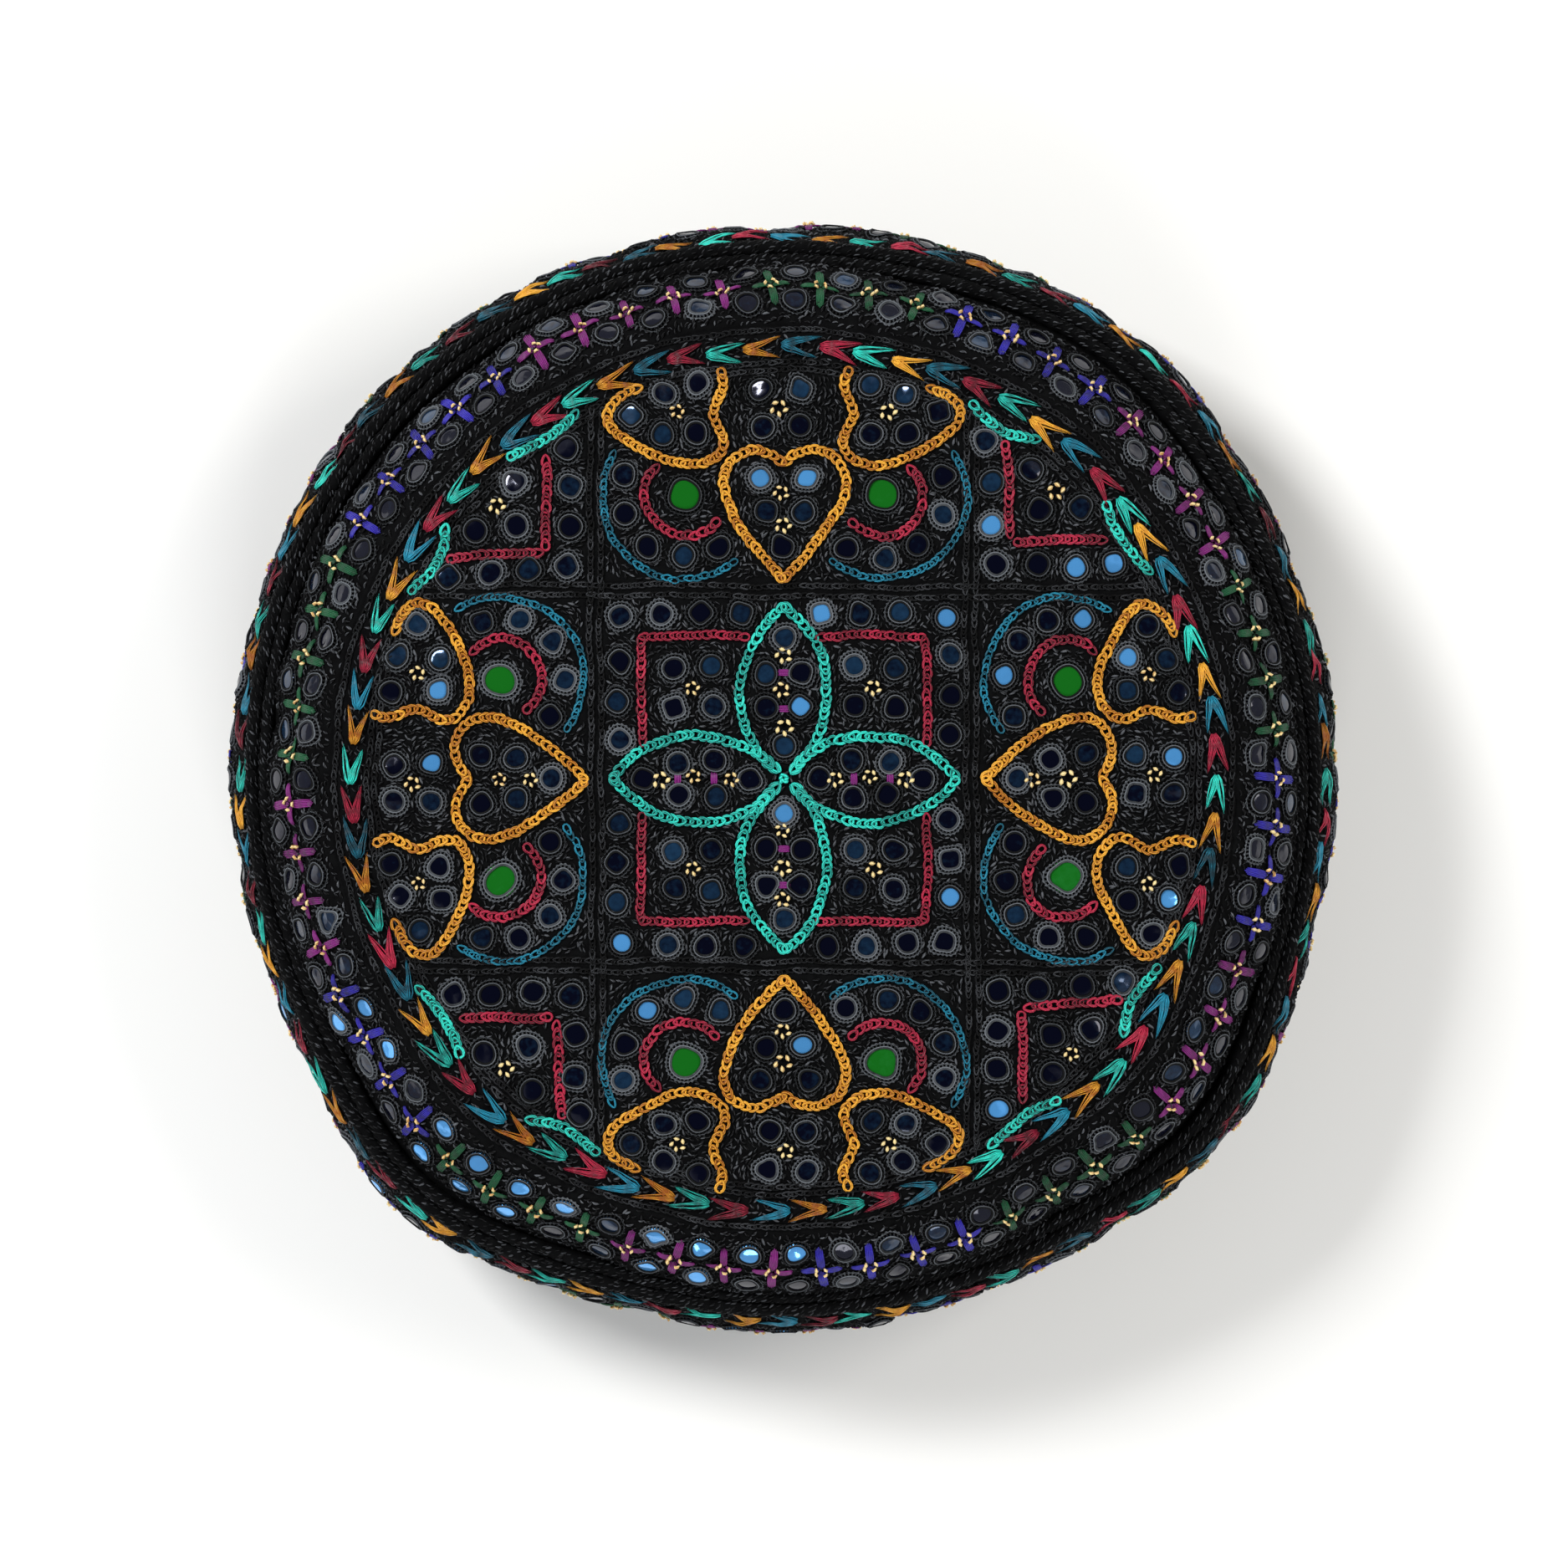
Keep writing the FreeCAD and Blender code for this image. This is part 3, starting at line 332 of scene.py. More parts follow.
def stuff(form, most):
    """Fills the form by cloth simulation, with its seams held, and caps how far a place may move."""
    bpy.context.view_layer.objects.active = form
    remesh = form.modifiers.new("even_cloth", "REMESH")
    remesh.mode = "VOXEL"
    remesh.voxel_size = 0.006
    bpy.ops.object.modifier_apply(modifier=remesh.name)
    count = len(form.data.vertices)
    before = np.zeros(count * 3)
    form.data.vertices.foreach_get("co", before)
    before = before.reshape(-1, 3)
    radius = np.hypot(before[:, 0], before[:, 1]) / MM
    height = before[:, 2] / MM
    held = form.vertex_groups.new(name="held")
    for seam, seam_height in ((panel_radius - 2.5, panel_edge_height - 2), (seam_radius - 2, side_top + 2),
                              (seam_radius - 3, back_top + 1)):
        near = np.hypot(radius - seam, height - seam_height) < 6
        held.add(np.flatnonzero(near).tolist(), 1.0, "REPLACE")
    held.add(np.flatnonzero(height < 4).tolist(), 1.0, "REPLACE")
    cloth = form.modifiers.new("stuffing", "CLOTH")
    cloth.settings.quality = 4
    cloth.settings.mass = 0.3
    cloth.settings.tension_stiffness = 12
    cloth.settings.compression_stiffness = 12
    cloth.settings.bending_stiffness = 0.4
    cloth.settings.vertex_group_mass = held.name
    cloth.settings.shrink_min = -0.022
    cloth.settings.use_pressure = True
    cloth.settings.uniform_pressure_force = 4
    cloth.settings.effector_weights.gravity = 0
    cloth.collision_settings.use_collision = False
    for step in range(1, settling_frames + 1):
        bpy.context.scene.frame_set(step)
    ready = form.evaluated_get(bpy.context.evaluated_depsgraph_get())
    after = np.zeros(count * 3)
    ready.data.vertices.foreach_get("co", after)
    form.modifiers.remove(cloth)
    bpy.context.scene.frame_set(1)
    move = after.reshape(-1, 3) - before
    far = np.linalg.norm(move, axis=1, keepdims=True)
    capped = before + move * np.minimum(1, most * MM / np.maximum(far, 1e-9))
    form.data.vertices.foreach_set("co", capped.ravel())
    form.data.update()


def measure_swell(form):
    """Reads, all over the cover, how far the stuffed form stands past the outline it was cut to."""
    points = [vertex.co.copy() for vertex in form.data.vertices]
    faces = [tuple(face.vertices) for face in form.data.polygons]
    tree = BVHTree.FromPolygons(points, faces)
    out = np.interp(swell_along, lengths, outward[:, 0])
    up = np.interp(swell_along, lengths, outward[:, 1])
    found = np.zeros_like(swell)
    reach = 20
    for column in range(swell_turn_count):
        turn = np.full(len(swell_along), column * 2 * math.pi / swell_turn_count)
        starts = on_cover(swell_along, turn, float(reach))
        for row, start in enumerate(starts):
            ray = Vector((-out[row] * math.cos(turn[row]), -out[row] * math.sin(turn[row]), -up[row]))
            hit = tree.ray_cast(Vector(start * MM), ray, 2 * reach * MM)
            found[row, column] = reach - hit[3] / MM if hit[0] else -slack
    found[:, -1] = found[:, 0]
    return found


most_moved = 9
unevenness = 1.4
most_uneven = 1.6
most_fuller = 0.6
form = stuffed_form()
stuff(form, most_moved)
found = measure_swell(form)
bpy.data.objects.remove(form)
usual = found.mean(1, keepdims=True)
fading = np.interp(swell_along, [0, lower_tuck_end, rim_end, rim_end + 10], [1, 1, 0.3, 0])[:, None]
fuller = np.clip(usual - np.median(usual), -most_fuller, most_fuller)
uneven_part = np.clip(unevenness * (found - usual), -most_uneven, most_uneven)
swell[:] = (uneven_part + fuller) * fading


pad_gap = 4.0
zip_side_room = 8
zip_end_room = 18   # the pull tab's tip reaches past the zip at the end of its run


def pad():
    """The pad inside the cover, clear of the zip that runs across its underside."""
    count = 240
    along_values = np.concatenate([np.linspace(5, panel_end, 50), np.linspace(panel_end, wall_end, 40)[1:],
                                   np.linspace(wall_end, under_end - 5, 90)[1:]])
    places, quads = round_cloth(along_values, count, -pad_gap)
    tapes = high_corner("zip_tape_upper")
    over_zip = high_corner("zip_slider").z + 1.5
    beside = np.clip((tapes.y + zip_side_room - np.abs(places[:, 1])) / 5, 0, 1)
    within = np.clip((tapes.x + zip_end_room - np.abs(places[:, 0])) / 5, 0, 1)
    under = places[:, 2] < over_zip
    lifted = places[:, 2] + (over_zip - places[:, 2]) * beside * within
    places[:, 2] = np.where(under, lifted, places[:, 2])
    return mesh_object("pad", places, [quads] + end_faces(len(along_values), count))


def calico():
    """Unbleached calico: plain-woven cotton, matt, cream with darker flecks of husk."""
    material, tree, place = new_material("calico")
    threads_per_metre = 1800.0
    weave = node(tree, "TexBrick", {"offset": 0.5},
                 {"Vector": place, "Scale": threads_per_metre / 2, "Mortar Size": 0.03})
    fleck = node(tree, "TexNoise", {}, {"Vector": place, "Scale": 900.0})
    tone = ramp(tree, fleck.outputs["Fac"], (0.3, "#C9B892"), (1.0, "#EDE4CE"))
    relief = node(tree, "Bump", {}, {"Strength": 0.3, "Distance": 0.0003, "Height": weave.outputs["Fac"]})
    finish_surface(tree, {"Base Color": tone.outputs["Color"], "Roughness": 0.9,
                          "Sheen Weight": 0.2, "Normal": relief.outputs["Normal"]})
    return material


def fit(piece, material, body, slot, *nodes):
    """Gives a piece its material and its body, and hides the CAD nodes that it stands for; slot is not
    used.
    """
    piece.data.materials.append(material)
    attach(piece, body)
    if nodes:
        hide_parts(*nodes)
    return piece


pad_piece = fit(pad(), calico(), "cushion", "pad_casing", "pad_filling", "pad_casing_top",
                "pad_casing_side", "pad_casing_bottom")


# ---- The cover's cloths: top panel, shoulder band and side band ----
# Black cotton, plain-woven and dull, cut in one disc and two strips and lined with thinner cotton.
# It shows only between the stitches.


def black_cotton(name, shade, light):
    """Black cotton cloth: matt, a little faded, with the crossing of its threads in relief."""
    material, tree, place = new_material(name)
    thread_pitch = 0.8 * MM   # coarser than real threads, so that the weave shows
    weave = node(tree, "TexChecker", {}, {"Vector": place, "Scale": 1 / thread_pitch})
    wear = node(tree, "TexNoise", {}, {"Vector": place, "Scale": 220.0, "Detail": 6.0})
    tone = ramp(tree, wear.outputs["Fac"], (0.35, shade), (0.75, light))
    relief = node(tree, "Bump", {}, {"Strength": 0.4, "Distance": 0.0003, "Height": weave.outputs["Fac"]})
    finish_surface(tree, {"Base Color": tone.outputs["Color"], "Roughness": 0.9,
                          "Specular IOR Level": 0.1,
                          "Normal": relief.outputs["Normal"]})
    return material


cloth_thickness = 1.2


def cloth_piece(name, start, end, rows, count, middle):
    """One cloth of the cover, with its own thickness; a disc if it starts in the middle."""
    outer_along = np.linspace(start, end, rows)
    outer, quads = round_cloth(outer_along, count, 0.0)
    inner, _ = round_cloth(outer_along, count, -cloth_thickness)
    layer = rows * count
    rings = np.arange(count)
    following = (rings + 1) % count
    edge = (rows - 1) * count
    hem = np.stack([rings + edge, rings + edge + layer, following + edge + layer, following + edge], 1)
    faces = [np.vstack([quads, quads[:, ::-1] + layer, hem])]
    if middle:
        faces += [rings[None, :], (rings + layer)[None, ::-1]]
    else:
        near = np.stack([rings, following, following + layer, rings + layer], 1)
        faces[0] = np.vstack([faces[0], near])
    return mesh_object(name, np.vstack([outer, inner]), faces)


cotton = black_cotton("black_cotton", "#010102", "#08090A")
top_cloth = fit(cloth_piece("top_panel_cloth", 2.0, panel_end, 80, 300, True), cotton, "cushion",
                "black_cotton", "top_panel", "top_lining")
shoulder_cloth = fit(cloth_piece("shoulder_cloth", panel_end, tuck_end, 22, 300, False), cotton,
                     "cushion", "black_cotton", "shoulder_band", "shoulder_lining")
side_cloth = fit(cloth_piece("side_cloth", tuck_end, lower_tuck_end, 32, 300, False), cotton, "cushion",
                 "black_cotton", "side_band", "side_lining")


# ---- The seams: two rolls of cloth above the side band, one piping below it ----
# Each is a cotton cord wrapped in the black cloth, cut on the bias, so that it puckers at a slant.


def joint_faces(rows, sides):
    """The quads that join a tube's last ring to its first."""
    first = np.arange(sides)
    following = (first + 1) % sides
    last = (rows - 1) * sides
    return np.stack([last + first, first, following, last + following], 1)


def roll(name, ring, height, thickness, count, sides, seed):
    """A wrapped cord that follows the cushion's outline, with slanting puckers."""
    draw = np.random.default_rng(seed)
    turn = np.arange(count) * 2 * math.pi / count
    around = np.arange(sides) * 2 * math.pi / sides
    turns, arounds = np.meshgrid(turn, around, indexing="ij")
    beat = draw.normal(0, 1, count)
    beat = np.convolve(np.concatenate([beat, beat[:8]]), np.ones(5) / 5, "same")[:count][:, None]
    pucker = 0.22 * np.sin(turns * 230 + arounds) + 0.25 * beat
    girth = thickness / 2 + pucker
    reach = ring + lean(turns) * 0.95 + girth * np.cos(arounds)
    wander = 0.5 * np.sin(3 * turns + seed) + 0.3 * np.sin(7 * turns + 2 * seed)
    places = np.stack([reach * np.cos(turns), reach * np.sin(turns),
                       height + wander + girth * np.sin(arounds)], -1).reshape(-1, 3)
    quads = grid_faces(count, sides, True)
    return mesh_object(name, places, [quads[:, ::-1], joint_faces(count, sides)[:, ::-1]])


def roll_from(node_name, seed):
    low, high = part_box(node_name)
    thickness = (high.z - low.z) / MM
    made = roll(node_name + "_cloth", high.x / MM - thickness / 2, (low.z + high.z) / 2 / MM, thickness,
                900, 14, seed)
    fit(made, cotton, "cushion", "black_cotton", node_name, node_name + "_cord")
    return made


roll_from("upper_seam_roll", 3)
roll_from("upper_piping", 4)
roll_from("lower_piping", 5)


# ---- The design: where the mirrors and the braids lie on the top panel ----
# One edge field and one corner field are drawn, and turned a quarter at a time, as the worker did
# from one pricked pattern. Millimetres from the middle, with Y away from the viewer.

grid_place = 72.6
square_half = 54.8
petal_length = 66.5
petal_half_width = 16.8
eye = np.array([-38.3, 109.5])


def turned(places, quarter):
    """Places turned by quarters of a turn about the middle."""
    x, y = np.asarray(places, float).T
    for _ in range(quarter):
        x, y = -y, x
    return np.stack([x, y], 1)


def on_both_sides(places):
    places = np.asarray(places, float)
    return [places, places * [-1, 1]]


def round_eye(radius, degrees):
    """Places on a circle round the large mirror of an edge field."""
    angles = np.radians(degrees)
    return eye + radius * np.stack([np.cos(angles), np.sin(angles)], 1)


centre_mirrors = [(35 + dx, 35 + dy) for dx in (-7.5, 7.5) for dy in (-7.5, 7.5)]
centre_mirrors += [(0, 13.5), (-7, 27), (7, 27), (-6.6, 41), (6.6, 41), (0, 54)]
centre_mirrors += [(-62.5, 62.5), (-47.5, 64), (-32.3, 64.3), (-17, 64), (15.5, 64), (30, 64.3), (45.5, 64)]
edge_mirrors = [(-9, 152), (6, 152), (-9, 137), (6, 137), (-9.5, 116.5), (9, 116.5), (-7.5, 103),
                (7.5, 103.5), (0, 90)]
for side in (0, 1):
    edge_mirrors += on_both_sides([(-59.5, 141.9), (-46.7, 149.5), (-33.5, 153.5), (-47, 133.6),
                                   (-34, 133.6)])[side].tolist()
    edge_mirrors += on_both_sides(round_eye(24.2, [163, 197, 234, 268, 305]))[side].tolist()
corner_mirrors = [(-104.5, 114.5), (-103, 98), (-118.5, 96), (-83.6, 128), (-83, 113.5), (-82.8, 97.6),
                  (-83.2, 82), (-98.5, 80.5), (-114, 79.5), (-129.5, 78)]
green_mirrors = [tuple(eye), tuple(eye * [-1, 1])]

heart = [(0, 122.6), (-6, 126.2), (-13, 127.4), (-20.5, 123.4), (-23.8, 115.5), (-21.8, 106.5),
         (-17, 97.5), (-9, 86.5), (0, 77)]
half_heart = [(-56, 152), (-63.5, 148.3), (-68.2, 142), (-66, 135.3), (-55, 128), (-42, 122.3),
              (-31.5, 122.3), (-24.6, 126.6), (-23.4, 133), (-27.3, 142.5), (-23.6, 153), (-25, 160)]
corner_angle = [[(-92.5, 124.5), (-92, 106), (-91.8, 89.5)], [(-93.6, 87.6), (-110, 86.6), (-130, 85.2)]]
corner_arcs = [[(-80.5, 143), (-86, 137), (-91.5, 132), (-98, 127.6), (-106, 124.2)],
               [(-130.8, 98.5), (-132, 91.5), (-134, 85), (-138.5, 79), (-144.5, 72.5)]]


def leaf_side(side):
    """One side of a pointed petal, from the middle of the flower to its tip."""
    radius = (petal_length ** 2 / 4 + petal_half_width ** 2) / (2 * petal_half_width)
    reach = np.linspace(2.5, petal_length, 14)
    bulge = np.sqrt(radius ** 2 - (reach - petal_length / 2) ** 2) - (radius - petal_half_width)
    return np.stack([side * bulge, reach], 1)


petal_clear = 8.5
square_sides = [[(-square_half, petal_clear + 5), (-square_half - 0.6, 35), (-square_half, square_half)],
                [(-square_half, square_half), (-35, square_half + 0.6), (-petal_clear - 5, square_half)]]


# ---- Chain-stitched braids: petals, square, hearts, arcs and corner angles ----
# Six-strand cotton floss in chain stitch. Each link is a loop that comes up inside the one before it,
# so a braid shows two bright strands and a row of small dark holes.


def cotton_floss(name, shade, light, gloss):
    """Stranded cotton: each thread's plies turn round it, with painted highlight on top and painted shade
    in the grooves.
    """
    material, tree, place = new_material(name)
    per_copy_tone = node(tree, "Attribute", {"attribute_name": "dye_and_painted_light"}, {})
    ply = node(tree, "Attribute", {"attribute_name": "ply"}, {})
    turn = node(tree, "Math", {"operation": "MULTIPLY"}, {0: ply.outputs["Fac"], 1: 2 * math.pi})
    groove = node(tree, "Math", {"operation": "SINE"}, {0: turn.outputs[0]})
    patch_width = 2.2 * MM
    patches = node(tree, "TexNoise", {}, {"Vector": place, "Scale": 1 / patch_width,
                                          "Detail": 5.0, "Roughness": 0.7})
    # painted shade and highlight: each ply's crest is painted lighter and its groove darker
    tone_with_painted_groove_shade = node(tree, "Math", {"operation": "MULTIPLY_ADD"},
                   {0: groove.outputs[0], 1: 0.24, 2: per_copy_tone.outputs["Fac"]})
    mixed = node(tree, "Math", {"operation": "MULTIPLY_ADD"},
                 {0: patches.outputs["Fac"], 1: 0.5, 2: tone_with_painted_groove_shade.outputs[0]})
    tone = ramp(tree, mixed.outputs[0], (0.05, shade), (0.72, light))
    relief = node(tree, "Bump", {}, {"Strength": 0.8, "Distance": 0.12 * MM, "Height": groove.outputs[0]})
    finish_surface(tree, {"Base Color": tone.outputs["Color"], "Roughness": 1 - gloss,
                          "Specular IOR Level": 0.7 * gloss,
                          "Normal": relief.outputs["Normal"]})
    return material


def strand(centre, girth, sides, closed, plies=4, ply_pitch=5.0):
    """A thread along a centre line in a local frame (along, across, up), as places and faces.
    Each place carries, fourth, how far its ply has turned."""
    centre = np.asarray(centre, float)
    if closed:
        heading = np.roll(centre, -1, 0) - np.roll(centre, 1, 0)
    else:
        heading = np.gradient(centre, axis=0)
    heading /= np.linalg.norm(heading, axis=1, keepdims=True)
    side = np.cross(heading, [0, 0, 1])
    side /= np.linalg.norm(side, axis=1, keepdims=True)
    up = np.cross(side, heading)
    around = (np.arange(sides) - sides / 4) * 2 * math.pi / sides
    girth = np.broadcast_to(girth, len(centre))[:, None, None]
    ring = np.cos(around)[None, :, None] * side[:, None] + np.sin(around)[None, :, None] * up[:, None]
    places = (centre[:, None] + ring * girth).reshape(-1, 3)
    travelled = np.concatenate([[0], np.cumsum(np.linalg.norm(np.diff(centre, axis=0), axis=1))])
    turned_by = travelled[:, None] / ply_pitch + np.arange(sides)[None] * plies / sides
    places = np.hstack([places, turned_by.reshape(-1, 1)])
    quads = grid_faces(len(centre), sides, True)
    if closed:
        return places, [np.vstack([quads, joint_faces(len(centre), sides)])]
    return places, [quads] + end_faces(len(centre), sides)


def shifted(part, along, across, turn):
    """A local shape, turned about its up axis and moved."""
    places, faces = part
    moved = places.copy()
    moved[:, 0] = places[:, 0] * math.cos(turn) - places[:, 1] * math.sin(turn) + along
    moved[:, 1] = places[:, 0] * math.sin(turn) + places[:, 1] * math.cos(turn) + across
    return moved, faces


def joined(parts):
    """Several local shapes as one."""
    places = []
    faces = {}
    offset = 0
    for part_places, part_faces in parts:
        for face in part_faces:
            faces.setdefault(face.shape[1], []).append(face + offset)
        places.append(part_places)
        offset += len(part_places)
    return np.vstack(places), [np.vstack(group) for group in faces.values()]


def chain_link(length, width, girth, segments, sides):
    """One link: a drop-shaped loop, low where it comes up and high where the next one holds it."""
    angle = np.arange(segments) * 2 * math.pi / segments
    along = -length / 2 * np.cos(angle)
    across = (width / 2 - girth) * np.sin(angle) * (0.9 - 0.25 * np.cos(angle))
    up = girth * (1.1 + 0.5 * np.cos(angle))
    return strand(np.stack([along, across, up], 1), girth, sides, True)


def smooth_line(points, spacing):
    """A smooth curve through points, as places at an even spacing and its heading there."""
    points = np.asarray(points, float)
    ends_added = np.vstack([2 * points[0] - points[1], points, 2 * points[-1] - points[-2]])
    share = np.linspace(0, 1, 12, endpoint=False)[:, None]
    line = []
    for a, b, c, d in zip(ends_added, ends_added[1:], ends_added[2:], ends_added[3:]):
        line.append(0.5 * (2 * b + (c - a) * share + (2 * a - 5 * b + 4 * c - d) * share ** 2
                           + (3 * b - a - 3 * c + d) * share ** 3))
    line = np.vstack(line + [points[-1:]])
    travelled = np.concatenate([[0], np.cumsum(np.hypot(*np.diff(line, axis=0).T))])
    count = max(2, int(round(travelled[-1] / spacing)))
    wanted = (np.arange(count) + 0.5) * travelled[-1] / count
    places = np.stack([np.interp(wanted, travelled, line[:, axis]) for axis in (0, 1)], 1)
    ahead = np.stack([np.interp(wanted + 0.5, travelled, line[:, axis]) for axis in (0, 1)], 1)
    behind = np.stack([np.interp(wanted - 0.5, travelled, line[:, axis]) for axis in (0, 1)], 1)
    return places, np.arctan2(*(ahead - behind).T[::-1])


def repeat_faces(faces, count, size):
    """The faces of one shape, repeated for count copies of size places."""
    offsets = (np.arange(count) * size)[:, None, None]
    return [(face[None] + offsets).reshape(-1, face.shape[1]) for face in faces]


def flat_copies(shape, places, heading, size):
    """Copies of a local shape at places of the flat drawing."""
    local = shape[0][None] * np.asarray(size, float).reshape(-1, 1, 1)
    cosine = np.cos(heading)[:, None]
    sine = np.sin(heading)[:, None]
    x = places[:, :1] + local[..., 0] * cosine - local[..., 1] * sine
    y = places[:, 1:] + local[..., 0] * sine + local[..., 1] * cosine
    return np.hypot(x, y), np.arctan2(y, x), np.broadcast_to(local[..., 2], x.shape)


def band_copies(shape, along, turn, heading, size):
    """Copies of a local shape at places on a band: along the outline and turned about Z.
    Heading 0 runs anticlockwise, and a quarter turn runs up the band."""
    local = shape[0][None] * np.asarray(size, float).reshape(-1, 1, 1)
    cosine = np.cos(heading)[:, None]
    sine = np.sin(heading)[:, None]
    round_way = local[..., 0] * cosine - local[..., 1] * sine
    up_way = local[..., 0] * sine + local[..., 1] * cosine
    radius = np.interp(along, lengths, route[:, 0])[:, None]
    height = np.broadcast_to(local[..., 2], up_way.shape)
    return along[:, None] - up_way, turn[:, None] + round_way / radius, height


def give_values(made, name, values):
    """Stores one value for each of a piece's places, for its material to read."""
    made.data.attributes.new(name, "FLOAT", "POINT").data.foreach_set("value", values)


def stitched(name, shape, laid, lift, dye_and_painted_light):
    """One piece made of all copies of a local shape, laid on the cover and lifted off its cloth."""
    along, turn, height = laid
    places = on_cover(along, turn, height + lift).reshape(-1, 3)
    made = mesh_object(name, places, repeat_faces(shape[1], len(along), len(shape[0])))
    give_values(made, "dye_and_painted_light", np.repeat(np.broadcast_to(dye_and_painted_light, len(along)), len(shape[0])))
    give_values(made, "ply", np.tile(shape[0][:, 3], len(along)))
    return made


def braid(name, lines, width, pitch, girth, segments, sides, seed, paleness=0.1):
    """Chain-stitched braids along lines of the drawing, in one piece."""
    draw = np.random.default_rng(seed)
    shape = chain_link(pitch * 1.48, width, girth, segments, sides)
    laid = [smooth_line(line, pitch) for line in lines]
    places = np.vstack([step[0] for step in laid])
    heading = np.concatenate([step[1] for step in laid])
    wave = draw.uniform(0, 6.28, 4)
    sway = np.sin(places[:, 1] * 0.11 + wave[0]) + 0.7 * np.sin(places[:, 1] * 0.23 + wave[1])
    rise = np.sin(places[:, 0] * 0.11 + wave[2]) + 0.7 * np.sin(places[:, 0] * 0.23 + wave[3])
    places += 0.35 * np.stack([sway, rise], 1) + draw.normal(0, 0.16, places.shape)
    heading += draw.normal(0, 0.07, len(heading))
    size = draw.uniform(0.93, 1.08, len(heading))
    return stitched(name, shape, flat_copies(shape, places, heading, size), 0.15,
                    paleness + draw.uniform(-0.25, 0.25, len(heading)))


def quarter_lines(lines):
    return [turned(line, quarter) for quarter in range(4) for line in lines]


def both_ways(lines):
    return [line for source in lines for line in on_both_sides(source)]


turquoise = cotton_floss("turquoise_floss", "#075F5A", "#36F0DA", 0.5)
crimson = cotton_floss("crimson_floss", "#3E0613", "#C82A4C", 0.5)
orange = cotton_floss("orange_floss", "#8E4704", "#FFBC3C", 0.5)
teal = cotton_floss("teal_floss", "#052C38", "#2092B2", 0.5)

petal_lines = quarter_lines([leaf_side(1), leaf_side(-1)])
heart_lines = quarter_lines(both_ways([heart, half_heart]))
square_lines = quarter_lines(square_sides)
crimson_arc_lines = quarter_lines(both_ways([round_eye(15.6, np.linspace(132, 322, 9))]))
teal_lines = quarter_lines(both_ways([round_eye(32.2, np.linspace(148, 308, 11))]))
angle_lines = quarter_lines(corner_angle)
arc_lines = quarter_lines(corner_arcs)

braid_pieces = [
    ("petal_braid", petal_lines, turquoise, "turquoise_thread", "petal_braids", 4.5, 0.58),
    ("square_braid", square_lines, crimson, "crimson_thread", "square_braids", 4.0, 0.5),
    ("heart_braid", heart_lines, orange, "orange_thread", "heart_braids", 4.5, 0.6),
    ("crimson_arc_braid", crimson_arc_lines, crimson, "crimson_thread", "crimson_arc_braids", 4.3, 0.56),
    ("teal_arc_braid", teal_lines, teal, "teal_thread", "teal_arc_braids", 3.3, 0.4),
    ("corner_angle_braid", angle_lines, crimson, "crimson_thread", "corner_angle_braids", 4.3, 0.56),
    ("corner_arc_braid", arc_lines, turquoise, "turquoise_thread", "corner_arc_braids", 4.5, 0.58),
]
braid_pitch = 3.0
for seed, (name, lines, floss, slot, cad_node, width, girth) in enumerate(braid_pieces, start=20):
    fit(braid(name, lines, width, braid_pitch, girth, 12, 6, seed), floss, "cushion", slot, cad_node)


# ---- Black chain rows: the lines between the fields and the rows beside the chevrons ----
# The same chain stitch in black cotton, finer and worked in pairs.

black_floss = cotton_floss("black_floss", "#010102", "#606368", 0.25)
row_step = 2.0


def grid_lines():
    """The double rows between the nine fields, out to the ring."""
    lines = []
    for place in (-grid_place, grid_place):
        for side in (-row_step, row_step):
            reach = math.sqrt(ring_inner ** 2 - (abs(place) + row_step) ** 2)
            points = np.array([(share * reach, place + side + 0.5 * math.sin(3 * share + place))
                               for share in np.linspace(-1, 1, 9)])
            lines += [points, points[:, ::-1]]
    return lines


def ring_line(radius):
    angle = np.linspace(0, 2 * math.pi, 73)
    return np.stack([radius * np.cos(angle), radius * np.sin(angle)], 1)


chevron_outer = high_corner("top_chevron_ring").x
ring_outer = high_corner("top_ring_rows").x
chevron_middle = chevron_outer - 5.1
ring_inner = chevron_outer - 11.5
row_width = 2.8
row_pitch = 2.5
row_girth = 0.38
row_paleness = -0.22
ring_lines = [ring_line(ring_inner), ring_line(ring_inner - 3.1), ring_line(ring_outer - 1.2)]
for name, lines, seed, cad_node in (("grid_rows", grid_lines(), 40, "grid_chain_rows"),
                                    ("ring_rows", ring_lines, 41, "top_ring_rows")):
    fit(braid(name, lines, row_width, row_pitch, row_girth, 10, 5, seed, row_paleness), black_floss,
        "cushion", "black_thread", cad_node)


# ---- Chevron rings: one on the top panel, two on the side band ----
# Each arm is a few long satin stitches that spread from the chevron's point and thin out towards
# their ends. Four colours follow one another round the ring, and every point leads anticlockwise.


def chevron_arm(length, opening, width, strands, seed):
    """One arm from its point, in the local frame; opening is its angle off the ring's line."""
    draw = np.random.default_rng(seed)
    parts = []
    share = np.linspace(0, 1, 7)
    for index in range(strands):
        offset = (index / (strands - 1) - 0.5) * width
        reach = length * (1 - 0.2 * abs(offset) / width - 0.1 * draw.random())
        x = -share * reach
        y = offset * np.interp(share, [0, 0.12, 1], [0.55, 1, 0.3])
        y += 0.3 * np.sin(share * math.pi) * draw.normal()
        z = 0.5 + 0.8 * np.sin(np.clip(share * 1.15, 0, 1) * math.pi) ** 0.7
        girth = width / strands * np.interp(share, [0, 0.15, 0.6, 1], [0.45, 0.68, 0.54, 0.14])
        thread = strand(np.stack([x, y, z + 0.15 * draw.normal()], 1), girth, 5, False, 2, 6.0)
        parts.append(shifted(thread, 0, 0, opening))
    return joined(parts)


